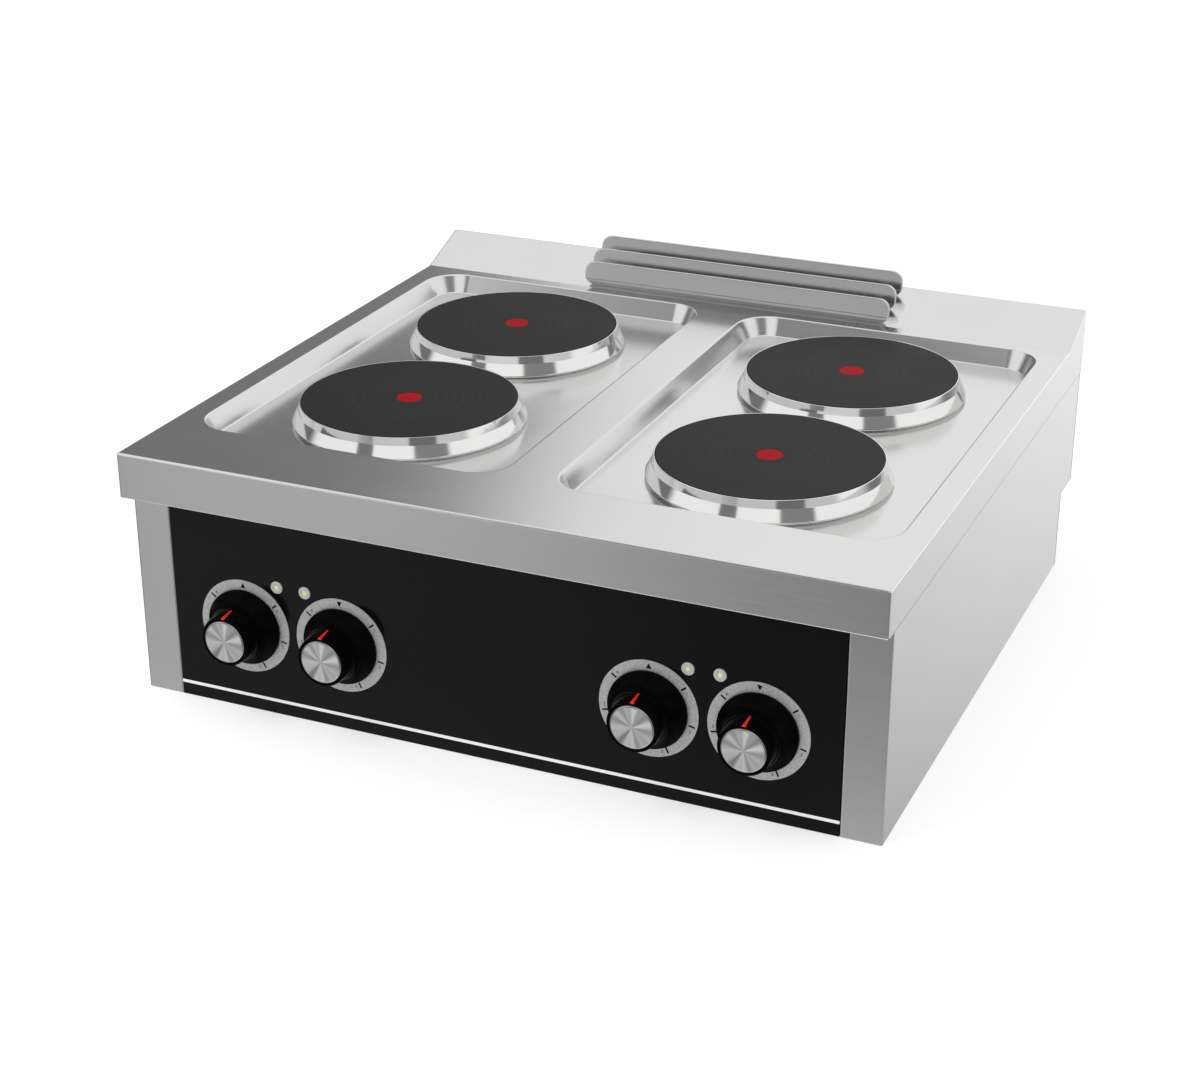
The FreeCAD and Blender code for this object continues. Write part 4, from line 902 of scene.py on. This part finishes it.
def lamp_lens():
    """Tinted plastic that glows a little more in its middle."""
    finish = Finish("lamp_lens")
    radius = finish.turn_and_radius()[1]
    cloud = finish.cloud(700.0, 2.0)
    glow = finish.mix(radius.step(2.4, 0.2), (0.30, 0.34, 0.10, 1), (0.75, 0.85, 0.30, 1))
    return finish.set(Base_Color=finish.mix(cloud, (0.42, 0.48, 0.14, 1), (0.62, 0.68, 0.26, 1)),
                      Roughness=0.12 + 0.1 * cloud, Emission_Color=glow, Emission_Strength=0.22,
                      Coat_Weight=0.4)


BEZEL_RADIUS, BEZEL_PROUD, BARREL, BORE, LAMP_DEPTH = 6.6, 1.6, 4.4, 2.6, 16
LENS_RADIUS, DOME_FROM, DOME_HEIGHT, LAMP_SPACING = 2.59, 0.6, 0.9, 31.9


def lamp_grids(profile):
    """The profile turned at each of the four lamp places."""
    low, high = span("pilot_lamp_bezels")
    reach, height = high[0] - BEZEL_RADIUS, (low[2] + high[2]) / 2
    places = (-reach, -reach + LAMP_SPACING, reach - LAMP_SPACING, reach)
    return [turned(profile, (x, panel_low[1], height), True, 48) for x in places]


bezel = rounded_line([(BORE, -LAMP_DEPTH), (BARREL, -LAMP_DEPTH), (BARREL, 0), (BEZEL_RADIUS, 0),
                      (BEZEL_RADIUS, BEZEL_PROUD), (3.4, BEZEL_PROUD), (BORE, 1.0)],
                     (0.3, 0.02, 0.05, 0.8, 0.3), steps=5, ease=0.02)
dome = np.linspace(0, np.pi / 2, 9)[:, None]
lens = np.vstack([[(0, -LAMP_DEPTH), (LENS_RADIUS, -LAMP_DEPTH), (LENS_RADIUS, DOME_FROM)],
                  np.hstack([LENS_RADIUS * np.cos(dome), DOME_FROM + DOME_HEIGHT * np.sin(dome)])])
fit(build("lamp_bezels", lamp_grids(np.vstack([bezel, bezel[:1]]))), "case", "lamp_bezel", lamp_bezel(),
    "pilot_lamp_bezels")
fit(build("lamp_lenses", lamp_grids(lens)), "case", "lamp_lens", lamp_lens(), "pilot_lamp_lenses")

# %% [markdown]
# ## Control panel and the parts that keep their shape
#
# The panel is flat sheet under black enamel, and the parts inside and behind are plain machined, pressed or
# moulded shapes that the frame already has right. They need only their finishes: enamel flows a little
# before it sets, galvanised sheet shows pale crystals, fired ceramic is speckled.


# %% Finishes of the case
def black_enamel():
    """Glossy black that levels to long soft waves, with dust and wipe marks in its gloss."""
    finish = Finish("black_enamel_panel")
    wave = finish.cloud(1.0, 1.0, stretch=(7, 7, 12))
    wipe = finish.cloud(1.0, 5.0, 0.65, stretch=(9, 9, 30))
    dust = finish.cloud(2600.0, 1.0).step(0.70, 0.76)
    colour = finish.mix(dust * 0.25, grey(0.0030), grey(0.03))
    return finish.set(Base_Color=colour, Roughness=0.05 + 0.08 * wipe, Specular_IOR_Level=0.2,
                      Normal=finish.bump(wave, 3.5e-5))


def speckled(name, low, high, scale, roughness, metallic=0.0, depth=1e-5, stretch=(1, 1, 1),
             tint=(1, 1, 1)):
    """A plain stock finish: one noise shades it, a finer one roughens and lifts it."""
    finish = Finish(name)
    cloud = finish.cloud(scale, 4.0, stretch=stretch)
    grain = finish.cloud(scale * 6, 2.0, stretch=stretch)
    return finish.set(Base_Color=finish.mix(cloud, grey(low, tint), grey(high, tint)), Metallic=metallic,
                      Roughness=roughness + 0.18 * (cloud - 0.5) + 0.1 * (grain - 0.5),
                      Normal=finish.bump(grain, depth))


def galvanised():
    """Crystals of zinc: each cell of a Voronoi pattern has its own grey and its own gloss."""
    finish = Finish("plain_steel")
    cells = finish.node("ShaderNodeTexVoronoi", {}, {"Vector": finish.place(), "Scale": 130.0}, "Color")
    own = finish.parts(cells)[0]
    cloud = finish.cloud(18.0, 3.0)
    colour = finish.mix(own * 0.5 + cloud * 0.5, grey(0.40), grey(0.62, (0.98, 1, 1.01)))
    return finish.set(Base_Color=colour, Metallic=0.9, Roughness=0.36 + 0.14 * own,
                      Normal=finish.bump(own, 8e-6))


finishes = {
    "black_enamel_panel": black_enamel(),
    "plain_steel": galvanised(),
    "white_line": speckled("white_line", 0.72, 0.86, 240, 0.3, depth=4e-6, tint=(1, 1, 0.985)),
    "brushed_stainless": stainless,
    "shaft_steel": speckled("shaft_steel", 0.42, 0.58, 500, 0.26, 1.0, 4e-6, (1, 0.1, 1)),
    "zinc_plated": speckled("zinc_plated", 0.46, 0.64, 300, 0.3, 1.0, 6e-6, tint=(1, 1, 0.93)),
    "switch_plastic": speckled("switch_plastic", 0.016, 0.03, 180, 0.5, depth=2e-5),
    "steatite": speckled("steatite", 0.60, 0.76, 220, 0.42, depth=2e-5, tint=(1, 0.97, 0.90)),
    "gland_plastic": speckled("gland_plastic", 0.012, 0.024, 260, 0.42, depth=2e-5),
    "wire_sleeve": speckled("wire_sleeve", 0.035, 0.08, 420, 0.62, depth=6e-5, tint=(1, 0.95, 0.85)),
}

# %% Every carried-over node gets its finish
slots = {part["node"]: part["material_slot"] for part in frame["record"]["subparts"]}
for name, node in frame["nodes"].items():
    if not node.hide_render:
        node.data.materials.clear()
        node.data.materials.append(finishes[slots[name]])
        print(name, "is finished as", slots[name])

# %% [markdown]
# ## Light, floor and camera
#
# Steel shows the room, so the room is the real finish here, and it is written as a formula of direction. A
# studio for such objects is white, with a grey wall to the rear left that ends below the ceiling, two
# narrow grey screens in front, and shade close above the horizon. Below the horizon the steel sees a floor
# that is dark ahead, with one lighter pool, and pale behind. Diffuse light stays even and white. One soft
# lamp adds a gentle shadow. Mirrors leave the lamp and the floor disc out, so their outlines never show.


# %% The room
def studio():
    """Brightness by direction: x points right, y to the rear and z up, each between -1 and 1.

    A product of steps is a patch of the room with soft edges; light = upper + (lower - upper) * below.
    """
    sky = Finish("studio", world=True)
    x, y, z = sky.parts(sky.node("ShaderNodeTexCoord", output="Generated"))
    front = y.step(0.05, -0.15)
    wall = (x * 0.912 + y * 0.314 + z * 0.263).step(0.03, -0.04)
    wall = wall * y.step(-0.25, -0.05) * z.step(0.74, 0.56)
    right = (x - 0.62).size().step(0.20, 0.16) * front * z.step(0.04, 0.1) * z.step(0.8, 0.7)
    left = (x + 0.295).size().step(0.14, 0.11) * front * z.step(0.06, 0.17) * z.step(0.93, 0.83)
    low_front = front * z.step(0.27, 0.12) * 0.38
    low_rear_left = y.step(0.2, 0.4) * x.step(0.0, -0.2) * z.step(0.24, 0.10) * 0.7
    upper = 1.06 - 0.86 * wall - 0.84 * left - 0.8 * right
    upper = upper.math("MAXIMUM", 0.12) * (1 - (low_front + low_rear_left))
    away = x + 0.47
    pool = (0.34 - away * away * 10.5).math("MAXIMUM", 0.0) * (1 + (z + 0.375) * 3.0)
    ahead = 0.25 + pool + (-z - 0.46).math("MAXIMUM", 0.0) * 3.0
    behind = 0.92 + (z + 0.375) * 2.6
    lower = ahead + (behind - ahead) * y.step(-0.3, 0.3)
    light = upper + (lower.math("MAXIMUM", 0.08) - upper) * z.step(0.02, -0.12)
    outputs = sky.node("ShaderNodeLightPath").socket.node.outputs
    seen, soft = (Signal(sky, outputs[kind]) for kind in ("Is Camera Ray", "Is Diffuse Ray"))
    light = light + (1.0 - light) * seen
    return sky.set(Color=grey(1.0), Strength=light + (1.12 - light) * soft)


scene.world = studio()
scene.view_settings.view_transform = "Standard"


# %% Lamps and floor
def soft_lamp(name, position, target, size, power):
    """A square soft box that looks at the target and has no mirror image."""
    lamp = bpy.data.lights.new(name, "AREA")
    lamp.size, lamp.energy = size, power
    holder = bpy.data.objects.new(name, lamp)
    aim = np.subtract(target, position)
    holder.location = position
    holder.rotation_euler = (math.acos(-aim[2] / np.linalg.norm(aim)), 0,
                             math.atan2(aim[1], aim[0]) - math.pi / 2)
    holder.visible_glossy = False
    scene.collection.objects.link(holder)
    print(f"{name}: {size} m wide, {power} W")


soft_lamp("overhead_lamp", position=(-0.9, -1.3, 2.4), target=(0, 0, 0.2), size=1.2, power=16)
FLOOR_RADIUS, FLOOR_BELOW, FLOOR_GLOW = 14000, 0.5, 0.52
radius = np.linspace(0, FLOOR_RADIUS, 8)[:, None]
disc = turned(np.hstack([radius, 0 * radius - FLOOR_BELOW]), (0, 0, 0), columns=64)
floor = build("studio_floor", [disc], facing=(0, 0, 1))
pale = speckled("pale_floor", 0.52, 0.54, 3.0, 0.8, depth=1e-6)
sockets = pale.node_tree.nodes["Principled BSDF"].inputs
sockets["Emission Color"].default_value = grey(1.0)
sockets["Emission Strength"].default_value = FLOOR_GLOW
floor.data.materials.append(pale)
floor.visible_glossy = False

# %% The camera
camera = bpy.data.objects.new("camera", bpy.data.cameras.new("camera"))
target = np.array([-0.02792, -0.025, 0.09783])
azimuth, elevation, distance = math.radians(23.52), math.radians(24.18), 2.52276
arm = np.array([math.sin(azimuth) * math.cos(elevation), -math.cos(azimuth) * math.cos(elevation),
                math.sin(elevation)])
camera.location = target + distance * arm
camera.rotation_euler = (math.pi / 2 - elevation, 0, azimuth)
camera.data.lens, camera.data.sensor_width = 69.38, 36.0
camera.data.clip_end = 60
scene.collection.objects.link(camera)
scene.camera = camera
print("camera distance, m:", distance)
